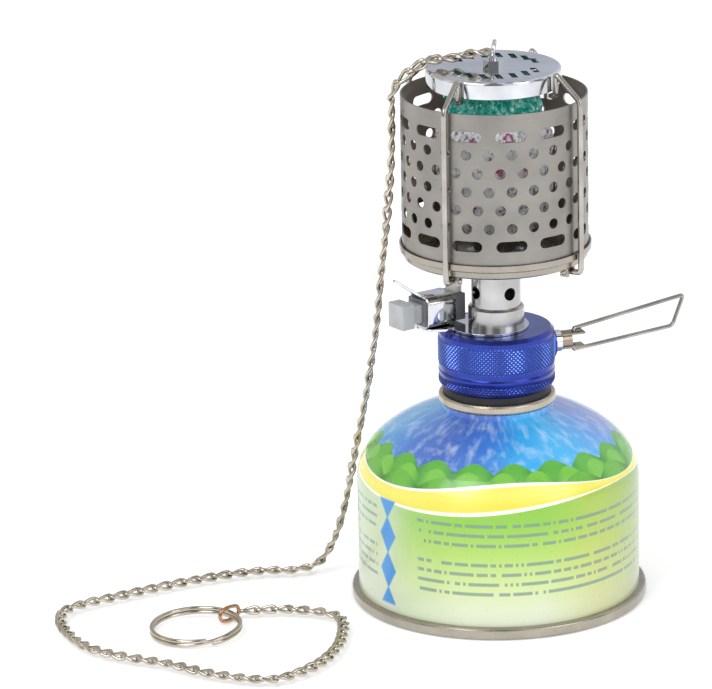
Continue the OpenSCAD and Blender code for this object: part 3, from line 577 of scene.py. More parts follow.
# %% Print
def make_label():
    """Varnished print: meadow greens below, a yellow ribbon, leaf scallops and a blue sky on the shoulder."""
    material, tree, shader = new_material("printed_tinplate_label")
    place = add(tree, "ShaderNodeTexCoord").outputs["Object"]
    axes = add(tree, "ShaderNodeSeparateXYZ", {0: place}).outputs
    height = add(tree, "ShaderNodeMath", {0: axes["Z"], 1: 1 / MM}, operation="MULTIPLY").outputs[0]
    angle, turn = around_axis(tree, axes)
    cloud = add(tree, "ShaderNodeTexNoise", {"Vector": place, "Scale": 1 / (26 * MM), "Detail": 3.0}).outputs["Fac"]

    # body of the can: leaf green under the shoulder, fading to a pale grey green at the seam
    rise = add(tree, "ShaderNodeMapRange", {"Value": height, "From Max": 62.0}).outputs[0]
    meadow = ramp_stops(add(tree, "ShaderNodeValToRGB", {"Fac": rise}),
                         [(0.0, "d9dfca"), (0.14, "dbe3c4"), (0.26, "cfe09c"), (0.42, "b0d464"), (0.58, "8cc63f"),
                          (0.7, "86c13c"), (1.0, "7cba3c")])
    # painted light by angle: a pale sheen at the left, a yellow highlight right of the front, shade at the right
    painted_sheen_and_shade = ramp_stops(add(tree, "ShaderNodeValToRGB", {"Fac": turn}),
                        [clear(0.0, "a8b496", 0.6), clear(0.36, "cfd8c0", 0.75), clear(0.40, "b4d09a", 0.3),
                         clear(0.46, "a8c860"),
                         clear(0.55, "c8cc50"), clear(0.62, "c4c45c", 0.5), clear(0.70, "98a468", 0.65),
                         clear(0.76, "8c9a70", 0.5), clear(1.0, "a8b496", 0.6)])
    colour = laid_over(tree, meadow.outputs["Color"], painted_sheen_and_shade)

    # sky on the shoulder, royal blue at the left, cyan in front and lilac blue at the right
    hue = add(tree, "ShaderNodeMath", {0: cloud, 1: 0.1, 2: turn}, operation="MULTIPLY_ADD").outputs[0]
    sky = ramp_stops(add(tree, "ShaderNodeValToRGB", {"Fac": hue}),
                      [(0.08, "5c90d4"), (0.30, "58a8dc"), (0.40, "4478c8"), (0.47, "3f66b8"), (0.545, "3c78cc"),
                       (0.59, "34a4e4"),
                       (0.66, "3cb0e8"), (0.74, "5c9ce0"), (0.80, "7f94d4"), (1.0, "5c90d4")])
    on_shoulder = add(tree, "ShaderNodeMath", {0: height, 1: SHOULDER}, operation="GREATER_THAN").outputs[0]
    colour = laid_over(tree, colour, sky, on_shoulder)
    streak_place = add(tree, "ShaderNodeCombineXYZ", {0: angle, 1: rise}).outputs[0]
    streak_place = add(tree, "ShaderNodeMapping", {"Vector": streak_place, "Scale": (7, 16, 1),
                                                   "Rotation": (0, 0, 0.35)}).outputs[0]
    streak = add(tree, "ShaderNodeTexNoise", {"Vector": streak_place, "Scale": 1.6, "Detail": 2.5}).outputs["Fac"]
    haze = ramp_stops(add(tree, "ShaderNodeValToRGB", {"Fac": streak}),
                       [clear(0.48, "dcecfa"), clear(0.68, "dcecfa", 0.3), clear(0.85, "f4faff", 0.5)])
    on_haze = add(tree, "ShaderNodeMath", {0: haze.outputs["Alpha"], 1: on_shoulder},
                  operation="MULTIPLY").outputs[0]
    colour = laid_over(tree, colour, haze, on_haze)

    # three rows of rounded leaves, each row lower and in front of the last
    for count, shift, level, tall, tones in ((19, 0.3, 52.6, 2.6, ("3f8f34", "58ab3a")),
                                             (23, 1.1, 50.6, 2.8, ("4c9c34", "74bd42")),
                                             (17, 2.2, 48.6, 3.2, ("3c8430", "66b03c"))):
        wave = add(tree, "ShaderNodeMath", {0: angle, 1: count / 2, 2: shift}, operation="MULTIPLY_ADD").outputs[0]
        wave = add(tree, "ShaderNodeMath", {0: wave}, operation="SINE").outputs[0]
        wave = add(tree, "ShaderNodeMath", {0: wave}, operation="ABSOLUTE").outputs[0]
        tip = add(tree, "ShaderNodeMath", {0: wave, 1: tall, 2: level - tall}, operation="MULTIPLY_ADD").outputs[0]
        inside = add(tree, "ShaderNodeMath", {0: tip, 1: height}, operation="GREATER_THAN").outputs[0]
        inside = add(tree, "ShaderNodeMath", {0: inside, 1: on_shoulder}, operation="MULTIPLY").outputs[0]
        leaf = ramp_stops(add(tree, "ShaderNodeValToRGB", {"Fac": wave}), [(0.1, tones[0]), (0.85, tones[1])])
        colour = laid_over(tree, colour, leaf, inside)

    # the ribbon: white edges, and yellow between two waves of different length
    edges = []
    for count, shift, tall, level in ((2.0, -0.5, 2.4, 40.4), (3.0, 1.2, 2.0, 46.2)):
        wave = add(tree, "ShaderNodeMath", {0: angle, 1: count, 2: shift}, operation="MULTIPLY_ADD").outputs[0]
        wave = add(tree, "ShaderNodeMath", {0: wave}, operation="SINE").outputs[0]
        edges.append(add(tree, "ShaderNodeMath", {0: wave, 1: tall, 2: level}, operation="MULTIPLY_ADD").outputs[0])
    across = add(tree, "ShaderNodeMapRange", {"Value": height, "From Min": edges[0], "From Max": edges[1]},
                 clamp=False).outputs[0]
    ribbon = ramp_stops(add(tree, "ShaderNodeValToRGB", {"Fac": across}),
                         [clear(0.0, "f4f6ee"), (0.02, "f6f8ee"), (0.13, "f2f4e0"), (0.17, "e8dc4c"),
                          (0.6, "f1e868"), (0.86, "eee36a"), (0.9, "f2f4e0"), (0.98, "f6f8ee"),
                          clear(1.0, "f4f6ee")])
    colour = laid_over(tree, colour, ribbon)

    # rows of plain dashes, in two blocks, printed in a grey teal
    along = add(tree, "ShaderNodeMath", {0: angle, 1: CAN_RADIUS / 0.85}, operation="MULTIPLY").outputs[0]
    cell = add(tree, "ShaderNodeMath", {0: along}, operation="FLOOR").outputs[0]
    rows = add(tree, "ShaderNodeMath", {0: height, 1: 1 / 3.1}, operation="MULTIPLY").outputs[0]
    row = add(tree, "ShaderNodeMath", {0: rows}, operation="FLOOR").outputs[0]
    key = add(tree, "ShaderNodeCombineXYZ", {0: cell, 1: row}).outputs[0]
    chance = add(tree, "ShaderNodeTexWhiteNoise", {"Vector": key}, noise_dimensions="2D").outputs["Value"]
    lit = add(tree, "ShaderNodeMath", {0: chance, 1: 0.2}, operation="GREATER_THAN").outputs[0]
    in_row = add(tree, "ShaderNodeMath", {0: rows}, operation="FRACT").outputs[0]
    band = ramp_stops(add(tree, "ShaderNodeValToRGB", {"Fac": in_row}),
                       [clear(0.28, "6f8f84"), clear(0.36, "6f8f84", 0.8), clear(0.62, "6f8f84", 0.8),
                        clear(0.7, "6f8f84")])
    blocks = ramp_stops(add(tree, "ShaderNodeValToRGB", {"Fac": rise}),
                         [clear(0.0, "ffffff"), clear(0.199, "ffffff"), clear(0.2, "ffffff", 1.0),
                          clear(0.399, "ffffff", 1.0), clear(0.4, "ffffff"), clear(0.449, "ffffff"),
                          clear(0.45, "ffffff", 1.0), clear(0.599, "ffffff", 1.0), clear(0.6, "ffffff")])
    margins = ramp_stops(add(tree, "ShaderNodeValToRGB", {"Fac": turn}),
                          [clear(0.04, "ffffff"), clear(0.041, "ffffff", 1.0), clear(0.338, "ffffff", 1.0),
                           clear(0.339, "ffffff"),
                           clear(0.405, "ffffff"), clear(0.406, "ffffff", 1.0), clear(0.72, "ffffff", 1.0),
                           clear(0.721, "ffffff"), clear(0.95, "ffffff")])
    shown = lit
    for mask in (band, blocks, margins):
        shown = add(tree, "ShaderNodeMath", {0: shown, 1: mask.outputs["Alpha"]}, operation="MULTIPLY").outputs[0]
    colour = laid_over(tree, colour, band, shown)

    # a column of blue lozenges at the front left
    sideways = add(tree, "ShaderNodeMath", {0: angle, 1: math.radians(51)}, operation="ADD").outputs[0]
    sideways = add(tree, "ShaderNodeMath", {0: sideways, 1: CAN_RADIUS}, operation="MULTIPLY").outputs[0]
    sideways = add(tree, "ShaderNodeMath", {0: sideways}, operation="ABSOLUTE").outputs[0]
    stack = add(tree, "ShaderNodeMath", {0: height, 1: 5.6}, operation="PINGPONG").outputs[0]
    reach = add(tree, "ShaderNodeMath", {0: stack, 1: 0.62, 2: 0.4}, operation="MULTIPLY_ADD").outputs[0]
    edge = add(tree, "ShaderNodeMath", {0: reach, 1: sideways}, operation="SUBTRACT").outputs[0]
    lozenge = ramp_stops(add(tree, "ShaderNodeValToRGB", {"Fac": edge}),
                          [clear(0.0, "3a96d8"), clear(0.25, "3a96d8", 0.9), clear(1.0, "3a8fd4", 1.0)])
    tall = ramp_stops(add(tree, "ShaderNodeValToRGB", {"Fac": rise}),
                       [clear(0.09, "ffffff"), clear(0.1, "ffffff", 1.0), clear(0.63, "ffffff", 1.0),
                        clear(0.64, "ffffff")])
    shown = add(tree, "ShaderNodeMath", {0: lozenge.outputs["Alpha"], 1: tall.outputs["Alpha"]},
                operation="MULTIPLY").outputs[0]
    colour = laid_over(tree, colour, lozenge, shown)

    # varnish: a clear coat over ink, with the slight orange peel of a roller
    peel = add(tree, "ShaderNodeTexNoise", {"Vector": place, "Scale": 1 / (1.6 * MM), "Detail": 2.0}).outputs["Fac"]
    relief = add(tree, "ShaderNodeBump", {"Height": peel, "Strength": 0.12, "Distance": 0.02 * MM}).outputs[0]
    gloss = add(tree, "ShaderNodeMapRange", {"Value": peel, "To Min": 0.24, "To Max": 0.34}).outputs[0]
    feed(tree, shader, Base_Color=colour, Roughness=gloss, Normal=relief, IOR=1.5, Coat_Weight=0.5,
         Coat_Roughness=0.12)
    return material


paint(nodes["can_shell"], make_label())
nodes["can_shell"].data.set_sharp_from_angle(angle=math.radians(32))

# %% [markdown]
# ## The knurled valve body
# The body is turned aluminium with a diamond knurl rolled into two bands, and it is anodised a deep blue.
# The dye sits in a clear oxide layer over metal, so it reflects as a tinted metal. The knurl is real
# geometry: a grid of points whose radius rises and falls where two families of slanted grooves cross. Its
# colour follows the distance from the axis, with painted highlights on the tips and painted shade in the valleys.

# %% Blue anodising
def make_anodised(name, knurled=False):
    """A dyed oxide over metal. On a knurl the tips get a painted highlight and the valleys painted shade."""
    material, tree, shader = new_material(name)
    place = add(tree, "ShaderNodeTexCoord").outputs["Object"]
    turning = add(tree, "ShaderNodeMapping", {"Vector": place, "Scale": (1, 1, 14)}).outputs[0]
    marks = add(tree, "ShaderNodeTexNoise", {"Vector": turning, "Scale": 1 / (3 * MM), "Detail": 4.0})
    marks = marks.outputs["Fac"]
    cloud = add(tree, "ShaderNodeTexNoise", {"Vector": place, "Scale": 1 / (7 * MM), "Detail": 2.0}).outputs["Fac"]
    tone = ramp_stops(add(tree, "ShaderNodeValToRGB", {"Fac": cloud}), [(0.3, "25308c"), (0.7, "2f43a4")])
    if knurled:
        depth = add(tree, "ShaderNodeMapRange", {"Value": from_axis(tree, place),
                                                 "From Min": (BODY_RADIUS - 0.12) * MM,
                                                 "From Max": (BODY_RADIUS + KNURL_DEPTH * 0.8) * MM}).outputs[0]
        # painted light: pale highlights on the knurl's tips and dark shade in its valleys
        tone = ramp_stops(add(tree, "ShaderNodeValToRGB", {"Fac": depth}),
                           [(0.0, "1a2474"), (0.4, "2c43a2"), (0.7, "6488dc"), (1.0, "a4c4fa")])
    gloss = add(tree, "ShaderNodeMapRange", {"Value": marks, "From Min": 0.3, "From Max": 0.7,
                                             "To Min": 0.16, "To Max": 0.28}).outputs[0]
    relief = add(tree, "ShaderNodeBump", {"Height": marks, "Strength": 0.3, "Distance": 0.004 * MM}).outputs[0]
    feed(tree, shader, Base_Color=tone.outputs["Color"], Metallic=0.9, Roughness=gloss, Normal=relief,
         Coat_Weight=0.25, Coat_Roughness=0.15)
    return material


BODY_RADIUS = 17.7
KNURL_DEPTH = 0.46
blue_anodised = make_anodised("blue_anodised_aluminium")
blue_knurl = make_anodised("blue_knurl_painted_glints", knurled=True)
paint(nodes["valve_body"], blue_anodised)
nodes["valve_body"].data.set_sharp_from_angle(angle=math.radians(32))


# %% Knurled bands
def knurled_band(name, radius, low, high, teeth=84, depth=KNURL_DEPTH):
    """A ring with a diamond knurl on its outside. The pitch of the teeth is about 1.3 mm."""
    around = teeth * 4
    pitch = 2 * math.pi * radius / teeth
    rows = round((high - low) / pitch * 4)
    inner = radius - 0.6
    vertices, faces = [], []
    for i in range(around):
        angle = 2 * math.pi * i / around
        ring = [(inner, low), (radius - 0.05, low)]
        for k in range(1, rows):
            p, q = (i + k) / 4, (i - k) / 4
            hollow = max(1 - 2 * abs(p - round(p)), 1 - 2 * abs(q - round(q)))
            fade = min(1, 2.5 * k / rows * 2, 2.5 * (rows - k) / rows * 2)
            ring.append((radius + depth * (0.85 - hollow) * fade, low + (high - low) * k / rows))
        ring += [(radius - 0.05, high), (inner, high)]
        vertices += [(r * math.cos(angle) * MM, r * math.sin(angle) * MM, z * MM) for r, z in ring]
    count = rows + 3
    for i in range(around):
        j = (i + 1) % around
        for k in range(count):
            n = (k + 1) % count
            faces.append((i * count + k, j * count + k, j * count + n, i * count + n))
    band = make_object(name, vertices, faces, smooth=True)
    paint(band, blue_knurl)
    return carried(mark_sharp(band, 28), "lantern", "blue_anodised")


upper_knurl = knurled_band("knurl_upper_band", BODY_RADIUS - 0.02, BODY_LOW + 6.3, BODY_TOP - 1.15)
lower_knurl = knurled_band("knurl_lower_band", BODY_RADIUS - 0.14, BODY_LOW + 1.1, BODY_LOW + 3.8)
waist = turned("smooth_waist", [(17.1, BODY_LOW + 3.8), (17.5, BODY_LOW + 3.85), (17.85, BODY_LOW + 4.5),
                                (17.95, BODY_LOW + 5.2), (17.75, BODY_LOW + 5.8), (17.45, BODY_LOW + 6.1),
                                (17.4, BODY_LOW + 6.3), (17.1, BODY_LOW + 6.3)])
carried(paint(waist, blue_anodised), "lantern", "blue_anodised")
print("knurl:", len(upper_knurl.data.vertices) + len(lower_knurl.data.vertices), "points")

# %% [markdown]
# ## Bent wires
# The cage is four drawn stainless wires and the valve handle is one. A bend in a wire keeps its thickness,
# so each wire is a round tube swept along a path whose corners are rounded.

# %% Cage wires
CAGE_WIRE = 1.8
CAGE_RADIUS = GLOBE_RADIUS + 0.85 + CAGE_WIRE / 2 + 0.2
PIVOT_RADIUS = CAGE_RADIUS - 4.8
PIVOT_HEIGHT = PAN_LOW - CAGE_WIRE / 2 - 0.6
HOOK_RADIUS = HOOD_RADIUS + CAGE_WIRE / 2 + 0.3
PIN_REACH = 2.9


def make_cage_wire(number, degrees):
    side = Matrix.Rotation(math.radians(degrees), 3, "Z")
    hook_height = HOOD_LOW - CAGE_WIRE / 2 - 0.55
    corners = [(PIVOT_RADIUS, 0, PIVOT_HEIGHT), (CAGE_RADIUS, 0, PIVOT_HEIGHT), (CAGE_RADIUS, 0, GLOBE_TOP + 0.55),
               (HOOK_RADIUS + 0.1, 0, HOOD_TOP + 0.2), (HOOK_RADIUS, 0, hook_height),
               (HOOD_RADIUS - 1.1, 0, hook_height)]
    across = [(PIVOT_RADIUS, side_step, PIVOT_HEIGHT) for side_step in (-PIN_REACH, 0, PIN_REACH)]
    parts = []
    for path, bend in ((corners, 1.5), (across, 0.2)):
        path = rounded_path([side @ Vector(c) for c in path], bend)
        path, taper = ease_ends(path, CAGE_WIRE / 2 * MM)
        parts.append(tube_mesh(path, CAGE_WIRE / 2 * MM, 18, taper=taper))
    piece = mark_sharp(merged(f"bent_cage_wire_{number}", parts), 60)
    paint(piece, wire_steel)
    return carried(piece, f"cage_wire_{number}", "handle_steel", f"cage_wire_{number}")


for number, turn in enumerate((0, 87.5, 177.5, 267.5)):
    make_cage_wire(number + 1, 240.5 + turn)

# %% Folding handle
SPINDLE_TURN = math.radians(20)
SPINDLE_HEIGHT = BODY_LOW + 11.2
BOSS, GLAND, GAP, CLIP_TO_PIVOT = 0.4, 2.4, 0.3, 4.4
HANDLE_PIVOT = BODY_RADIUS + BOSS + GLAND + GAP + CLIP_TO_PIVOT
HANDLE_WIRE, HANDLE_LENGTH, HANDLE_LEAN = 1.3, 43.4, 4.4
HANDLE_HALF, PIN_END = 3.4, 1.9


def make_wire_handle():
    """The loop, drawn folded a little to one side, with its two short pins in the clip."""
    place = (Matrix.Rotation(SPINDLE_TURN, 4, "Z") @ Matrix.Translation((HANDLE_PIVOT, 0, SPINDLE_HEIGHT))
             @ Matrix.Rotation(math.radians(17), 4, "Z"))
    corners = [(0, 0, PIN_END), (0, 0, HANDLE_HALF), (HANDLE_LENGTH, 0, 5.9),
               (HANDLE_LENGTH - HANDLE_LEAN, 0, -3.3), (0, 0, -HANDLE_HALF), (0, 0, -PIN_END)]
    return wire("bent_wire_handle", [place @ Vector(c) for c in corners], HANDLE_WIRE, bend=1.5, sides=16)


handle = make_wire_handle()
paint(handle, handle_steel)
carried(handle, "wire_handle", "handle_steel", "wire_handle")

# %% [markdown]
# ## The igniter's bracket
# One strip of plated sheet holds the igniter. It lies as a round plate under the collar, is rolled around the
# square case and ends in a pointed tongue. Sheet can't be folded to a sharp corner, so the strap's outside is
# rounder than its inside by the thickness of the sheet, and that gives it its long soft reflections.

# %% Igniter bracket, in millimetres
BRACKET_SHEET = 0.9
CASE_WIDTH = 8.2
CLAMP_INSIDE = CASE_WIDTH + 0.06
IGNITER_HEIGHT = BODY_TOP + 2 * BRACKET_SHEET + CLAMP_INSIDE / 2
CLAMP_START, CLAMP_LENGTH = 10.6, 10.6
IGNITER_OFFSET = 11
PLATE_CENTRE, PLATE_RADIUS = Vector((-2.2, -0.6)), 12.2
IGNITER_PLACE = (Matrix.Rotation(math.radians(216.87), 4, "Z")
                 @ Matrix.Translation((0, -IGNITER_OFFSET, IGNITER_HEIGHT)))


def plate(low, high):
    """A flat plate between two outlines, given as points in millimetres."""
    count = len(low)
    faces = [tuple(range(count))[::-1], tuple(range(count, 2 * count))]
    faces += [(i, (i + 1) % count, (i + 1) % count + count, i + count) for i in range(count)]
    return [Vector(p) * MM for p in (*low, *high)], faces


def rounded_square(half, corner, steps=6):
    points = []
    for turn in range(4):
        for k in range(steps + 1):
            angle = math.radians(90 * turn + 90 * k / steps)
            cx, cy = ((1, 1), (-1, 1), (-1, -1), (1, -1))[turn]
            points.append((cx * (half - corner) + corner * math.cos(angle),
                           cy * (half - corner) + corner * math.sin(angle)))
    return points


def rolled_strap():
    """Rings of the outer and inner outline at four stations, with eased ends."""
    inner = rounded_square(CLAMP_INSIDE / 2, 1.0)
    outer = rounded_square(CLAMP_INSIDE / 2 + BRACKET_SHEET, 2.4)
    count = len(inner)
    vertices, faces = [], []
    stations = ((0.0, 0.18), (0.25, 0.0), (CLAMP_LENGTH - 0.25, 0.0), (CLAMP_LENGTH, 0.18))
    for along, ease in stations:
        for ring, side in ((outer, -1), (inner, 1)):
            for y, z in ring:
                grow = 1 + side * ease / max(abs(y), abs(z), 1)
                vertices.append(IGNITER_PLACE @ Vector((CLAMP_START + along, y * grow, z * grow)) * MM)
    last = (len(stations) - 1) * 2 * count
    for k in range(count):
        n = (k + 1) % count
        for a in range(0, last, 2 * count):
            b = a + 2 * count
            faces.append((a + k, a + n, b + n, b + k))
            faces.append((a + count + k, b + count + k, b + count + n, a + count + n))
        faces.append((k, k + count, n + count, n))
        faces.append((last + k, last + n, last + count + n, last + count + k))
    return vertices, faces


def collar_plate():
    """A disc under the collar, widened to the strap by two straight edges."""
    edge = CLAMP_INSIDE / 2 + BRACKET_SHEET - 0.4
    corners = ((9.4, -edge), (10.4, 1.2 - edge), (10.4, edge - 1.2), (9.4, edge))
    foot = [IGNITER_PLACE.to_3x3() @ Vector((CLAMP_START + x, y - IGNITER_OFFSET, 0)) for x, y in corners]
    outline = [(p.x, p.y) for p in foot]
    start = math.atan2(foot[-1].y - PLATE_CENTRE.y, foot[-1].x - PLATE_CENTRE.x)
    stop = math.atan2(foot[0].y - PLATE_CENTRE.y, foot[0].x - PLATE_CENTRE.x)
    swept = (stop - start) % (2 * math.pi)
    for k in range(1, 48):
        angle = start + swept * k / 48
        outline.append((PLATE_CENTRE.x + PLATE_RADIUS * math.cos(angle),
                        PLATE_CENTRE.y + PLATE_RADIUS * math.sin(angle)))
    return plate(*([(x, y, z) for x, y in outline] for z in (BODY_TOP + 0.02, BODY_TOP + BRACKET_SHEET)))


def tongue():
    """It rises at 35 degrees above the button and narrows to a point."""
    root = (IGNITER_PLACE @ Matrix.Translation((CLAMP_START + CLAMP_LENGTH - 0.4, 0, CLAMP_INSIDE / 2))
            @ Matrix.Rotation(math.radians(-35), 4, "Y"))
    corners = ((0, -2.6), (3, -1.7), (8, -1.1), (12, -0.5), (12, 0.5), (8, 1.1), (3, 1.7), (0, 2.6))
    return plate(*([root @ Vector((x, y, z)) for x, y in corners] for z in (0.0, BRACKET_SHEET)))


def make_igniter_bracket():
    parts = [rolled_strap(), collar_plate(), tongue()]
    piece = mark_sharp(merged("rolled_igniter_bracket", parts), 40)
    bevelled(piece, 0.12, angle=50)
    return carried(paint(piece, bright_chrome), "lantern", "bright_chrome", "igniter_bracket")


make_igniter_bracket()

# %% Soft edges on pressed, moulded and turned pieces that keep their solids
for name, width in (("handle_clip", 0.3), ("piezo_button", 0.5), ("piezo_case", 0.8), ("gland_nut", 0.15),
                    ("eye_nut", 0.15)):
    bevelled(nodes[name], width)

# %% [markdown]
# ## The spare mantle in its packet
# The lantern is stored with a new mantle inside the globe, in a thin printed plastic packet. Film that is
# stuffed into a small space creases in flat facets with sharp ridges. The packet is a bag of flat triangles,
# pushed in by broad folds and then moved by chance, point by point, which leaves small facets at all angles.

# %% Crumpled packet
def make_packet():
    """Rows of points round a bag, pushed in and out by folds and by chance, in flat triangles."""
    rng = random.Random(11)
    low, high = PAN_TOP + 3.7, HOOD_TOP - 4
    around, rows = 72, 25
    profile = [(0.0, 13.0), (0.12, 16.4), (0.3, 18.3), (0.62, 18.3), (0.78, 15.2), (0.97, 14.6), (1.0, 13.2)]
    vertices = []
    for row in range(rows + 1):
        t = row / rows
        radius = profile[-1][1]
        for (t0, r0), (t1, r1) in zip(profile, profile[1:]):
            if t0 <= t <= t1:
                radius = r0 + (r1 - r0) * (t - t0) / (t1 - t0)
        z = low + (high - low) * t
        for k in range(around):
            angle = 2 * math.pi * (k + 0.5 * (row % 2)) / around
            p = polar(radius, math.degrees(angle), z)
            folds = noise.noise(p * 0.13 + Vector((3, 1, 7)))
            push = -3.2 * abs(folds) + rng.uniform(-0.75, 0.55)
            drift = rng.uniform(-0.5, 0.5) if 0 < row < rows else 0.0
            vertices.append(polar(max(radius + push, 7), math.degrees(angle) + rng.uniform(-1.4, 1.4), z + drift))
    faces = []
    for row in range(rows):
        for k in range(around):
            a, b = row * around + k, row * around + (k + 1) % around
            c, d = a + around, b + around
            faces += [(a, b, c), (b, d, c)] if row % 2 == 0 else [(a, b, d), (a, d, c)]
    for ring, middle in ((0, low + 0.5), (rows, high - 0.6)):
        vertices.append(Vector((0, 0, middle)))
        faces += [(ring * around + k, ring * around + (k + 1) % around, len(vertices) - 1) for k in range(around)]
    return make_object("crumpled_mantle_packet", [v * MM for v in vertices], faces, smooth=False)


def make_film():
    """Thin glossy film: teal print with painted glints above, white with magenta patches below, painted crease
    shade.
    """
    material, tree, shader = new_material("printed_plastic_film")
    place = add(tree, "ShaderNodeTexCoord").outputs["Object"]
    axes = add(tree, "ShaderNodeSeparateXYZ", {0: place}).outputs
    blot = add(tree, "ShaderNodeTexNoise", {"Vector": place, "Scale": 1 / (6 * MM), "Detail": 3.0}).outputs["Fac"]
    fine = add(tree, "ShaderNodeTexNoise", {"Vector": place, "Scale": 1 / (1.8 * MM), "Detail": 3.0,
                                            "Distortion": 1.2}).outputs["Fac"]
    level = add(tree, "ShaderNodeMath", {0: blot, 1: 0.006, 2: axes["Z"]}, operation="MULTIPLY_ADD").outputs[0]
    rise = add(tree, "ShaderNodeMapRange", {"Value": level, "From Min": (PAN_TOP + 3) * MM,
                                            "From Max": HOOD_TOP * MM}).outputs[0]
    body = ramp_stops(add(tree, "ShaderNodeValToRGB", {"Fac": blot}),
                       [(0.3, "c4c2c6"), (0.42, "f0eff2"), (0.5, "ffffff"), (0.6, "f2f0f4"), (0.63, "b8457f"),
                        (0.68, "c2608f"), (0.7, "e8e4ea")])
    # the teal print; its palest stop is a painted glint
    teal = ramp_stops(add(tree, "ShaderNodeValToRGB", {"Fac": fine}),
                       [(0.3, "0f7466"), (0.44, "1fa391"), (0.56, "46c6b3"), (0.68, "b6f0e6")])
    # painted shade: grey patches laid over the film where its creases would lie in shadow
    painted_crease_shade = ramp_stops(add(tree, "ShaderNodeValToRGB", {"Fac": fine}),
                         [clear(0.34, "5d5b62", 0.85), clear(0.43, "8a888f", 0.45), clear(0.5, "ffffff"),
                          clear(0.58, "ffffff"), clear(0.64, "ffffff", 0.9)])
    printed = ramp_stops(add(tree, "ShaderNodeValToRGB", {"Fac": rise}),
                          [clear(0.76, "ffffff"), clear(0.8, "ffffff", 1.0)])
    colour = laid_over(tree, body.outputs["Color"], painted_crease_shade)
    colour = laid_over(tree, colour, teal, printed.outputs["Alpha"])
    relief = add(tree, "ShaderNodeBump", {"Height": fine, "Strength": 0.35, "Distance": 0.15 * MM}).outputs[0]
    gloss = add(tree, "ShaderNodeMapRange", {"Value": blot, "To Min": 0.08, "To Max": 0.22}).outputs[0]
    feed(tree, shader, Base_Color=colour, Roughness=gloss, Normal=relief, IOR=1.5)
    return material


packet = make_packet()
paint(packet, make_film())
carried(packet, "lantern", "packet_film", "mantle_packet")

# %% [markdown]
# ## The perforated globe
# The globe is rolled from perforated stainless sheet. Its outside is satin and clean, and the inside is a darker,
# warmer grey, so the colour changes with the distance from the axis.

# %% Globe steel
def make_globe_steel():
    material, tree, shader = new_material("perforated_stainless_sheet")
    place = add(tree, "ShaderNodeTexCoord").outputs["Object"]
    reach = from_axis(tree, place)
    inside = add(tree, "ShaderNodeMath", {0: reach, 1: (GLOBE_RADIUS - 0.3) * MM}, operation="LESS_THAN").outputs[0]
    rolled = add(tree, "ShaderNodeMapping", {"Vector": place, "Scale": (1, 1, 9)}).outputs[0]
    grain = add(tree, "ShaderNodeTexNoise", {"Vector": rolled, "Scale": 1 / (4 * MM), "Detail": 5.0}).outputs["Fac"]
    cloud = add(tree, "ShaderNodeTexNoise", {"Vector": place, "Scale": 1 / (12 * MM), "Detail": 3.0}).outputs["Fac"]
    outer = ramp_stops(add(tree, "ShaderNodeValToRGB", {"Fac": cloud}), [(0.3, "8c8883"), (0.7, "9c9892")])
    # the inside is a darker, warmer grey than the outside
    darker_inner_tone = ramp_stops(add(tree, "ShaderNodeValToRGB", {"Fac": cloud}), [(0.3, "776d64"), (0.7, "978d83")])
    colour = laid_over(tree, outer.outputs["Color"], darker_inner_tone, inside)
    gloss = add(tree, "ShaderNodeMapRange", {"Value": grain, "From Min": 0.3, "From Max": 0.7,
                                             "To Min": 0.3, "To Max": 0.46}).outputs[0]
    relief = add(tree, "ShaderNodeBump", {"Height": grain, "Strength": 0.25, "Distance": 0.01 * MM}).outputs[0]
    feed(tree, shader, Base_Color=colour, Metallic=1.0, Roughness=gloss, Normal=relief)
    return material


paint(nodes["globe"], make_globe_steel())
nodes["globe"].data.set_sharp_from_angle(angle=math.radians(32))

# %% [markdown]
# ## Floor and light
# The object stands on a pale floor under soft light from above and from both sides. Polished metal needs
# something to reflect, so the world has a few darker flags that only glossy rays see.

# %% Studio
def make_floor():
    """A white table. Straight rays see it slightly lifted, so that it reads as white and keeps the shadow."""
    material, tree, shader = new_material("white_table")
    place = add(tree, "ShaderNodeTexCoord").outputs["Object"]
    speck = add(tree, "ShaderNodeTexNoise", {"Vector": place, "Scale": 40.0, "Detail": 2.0})
    tone = add(tree, "ShaderNodeValToRGB", {"Fac": speck.outputs["Fac"]})
    ramp_stops(tone, [(0.0, "fdfdfd"), (1.0, "ffffff")])
    path = add(tree, "ShaderNodeLightPath")
    seen = add(tree, "ShaderNodeMath", {0: path.outputs["Is Camera Ray"], 1: path.outputs["Is Glossy Ray"]},
               operation="MAXIMUM")
    seen = add(tree, "ShaderNodeMath", {0: seen.outputs[0], 1: path.outputs["Is Transmission Ray"]},
               operation="MAXIMUM")
    lifted = add(tree, "ShaderNodeMath", {0: seen.outputs[0], 1: 0.2}, operation="MULTIPLY")
    feed(tree, shader, Base_Color=tone.outputs["Color"], Roughness=0.9, Emission_Color=linear("ffffff"),
         Emission_Strength=lifted.outputs[0])
    floor = make_object("floor", [(-3, -3, 0), (3, -3, 0), (3, 3, 0), (-3, 3, 0)], [(0, 1, 2, 3)], False)
    floor.location.z = -0.0002
    paint(floor, material)
    return floor


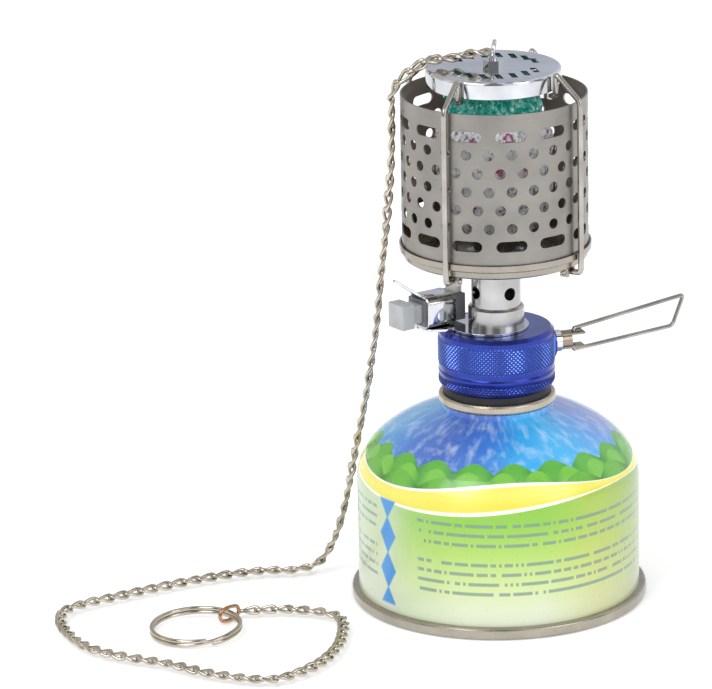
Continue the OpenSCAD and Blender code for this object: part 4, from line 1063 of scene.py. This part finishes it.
def make_world():
    """Even soft light, a white background for straight rays, and a white studio with grey flags in metal."""
    world = bpy.data.worlds.new("studio")
    bpy.context.scene.world = world
    world.use_nodes = True
    tree = world.node_tree
    tree.nodes.clear()
    path = add(tree, "ShaderNodeLightPath")
    axes = add(tree, "ShaderNodeSeparateXYZ", {0: add(tree, "ShaderNodeTexCoord").outputs["Generated"]}).outputs
    turn = around_axis(tree, axes)[1]
    flags = ramp_stops(add(tree, "ShaderNodeValToRGB", {"Fac": turn}),
                        [(0.0, "c2c7d2"), (0.07, "cfccc4"), (0.1, "d5cfc2"), (0.22, "dcd7cc"), (0.26, "ffffff"),
                         (0.345, "555555"), (0.375, "4a4a4a"), (0.40, "ffffff"), (0.45, "ffffff"),
                         (0.465, "8a8a8e"), (0.535, "8e8e92"), (0.555, "ffffff"), (0.61, "ffffff"),
                         (0.635, "5a5a5a"), (0.665, "6a6a6a"), (0.69, "ffffff"), (0.7, "ffffff"), (0.72, "8c8c90"),
                         (0.75, "909094"), (0.77, "ffffff"), (0.88, "f0f0f2"), (1.0, "c2c7d2")])
    soft = add(tree, "ShaderNodeBackground", {"Color": linear("fbfcff"), "Strength": 0.86})
    flagged = add(tree, "ShaderNodeBackground", {"Color": flags.outputs["Color"], "Strength": 1.0})
    white = add(tree, "ShaderNodeBackground", {"Color": linear("ffffff"), "Strength": 1.0})
    in_metal = add(tree, "ShaderNodeMixShader", {0: path.outputs["Is Glossy Ray"], 1: soft.outputs[0],
                                                 2: flagged.outputs[0]})
    straight = add(tree, "ShaderNodeMath", {0: path.outputs["Is Camera Ray"],
                                            1: path.outputs["Is Transmission Ray"]}, operation="MAXIMUM")
    mix = add(tree, "ShaderNodeMixShader", {0: straight.outputs[0], 1: in_metal.outputs[0], 2: white.outputs[0]})
    add(tree, "ShaderNodeOutputWorld", {"Surface": mix.outputs[0]})


def soft_lamp(name, place, aim, size, power, colour="ffffff"):
    data = bpy.data.lights.new(name, "AREA")
    data.shape = "RECTANGLE"
    data.size, data.size_y = size
    data.energy = power
    data.color = linear(colour)[:3]
    lamp = bpy.data.objects.new(name, data)
    bpy.context.scene.collection.objects.link(lamp)
    lamp.location = place
    lamp.rotation_euler = (Vector(aim) - Vector(place)).to_track_quat("-Z", "Y").to_euler()
    return lamp


make_floor()
make_world()
soft_lamp("key", (-0.7, -0.9, 1.2), (0, 0, 0.1), (0.8, 0.8), 8)
soft_lamp("fill", (0.9, -0.7, 0.6), (0, 0, 0.09), (0.5, 0.9), 3)
bpy.context.scene.view_settings.view_transform = "Standard"
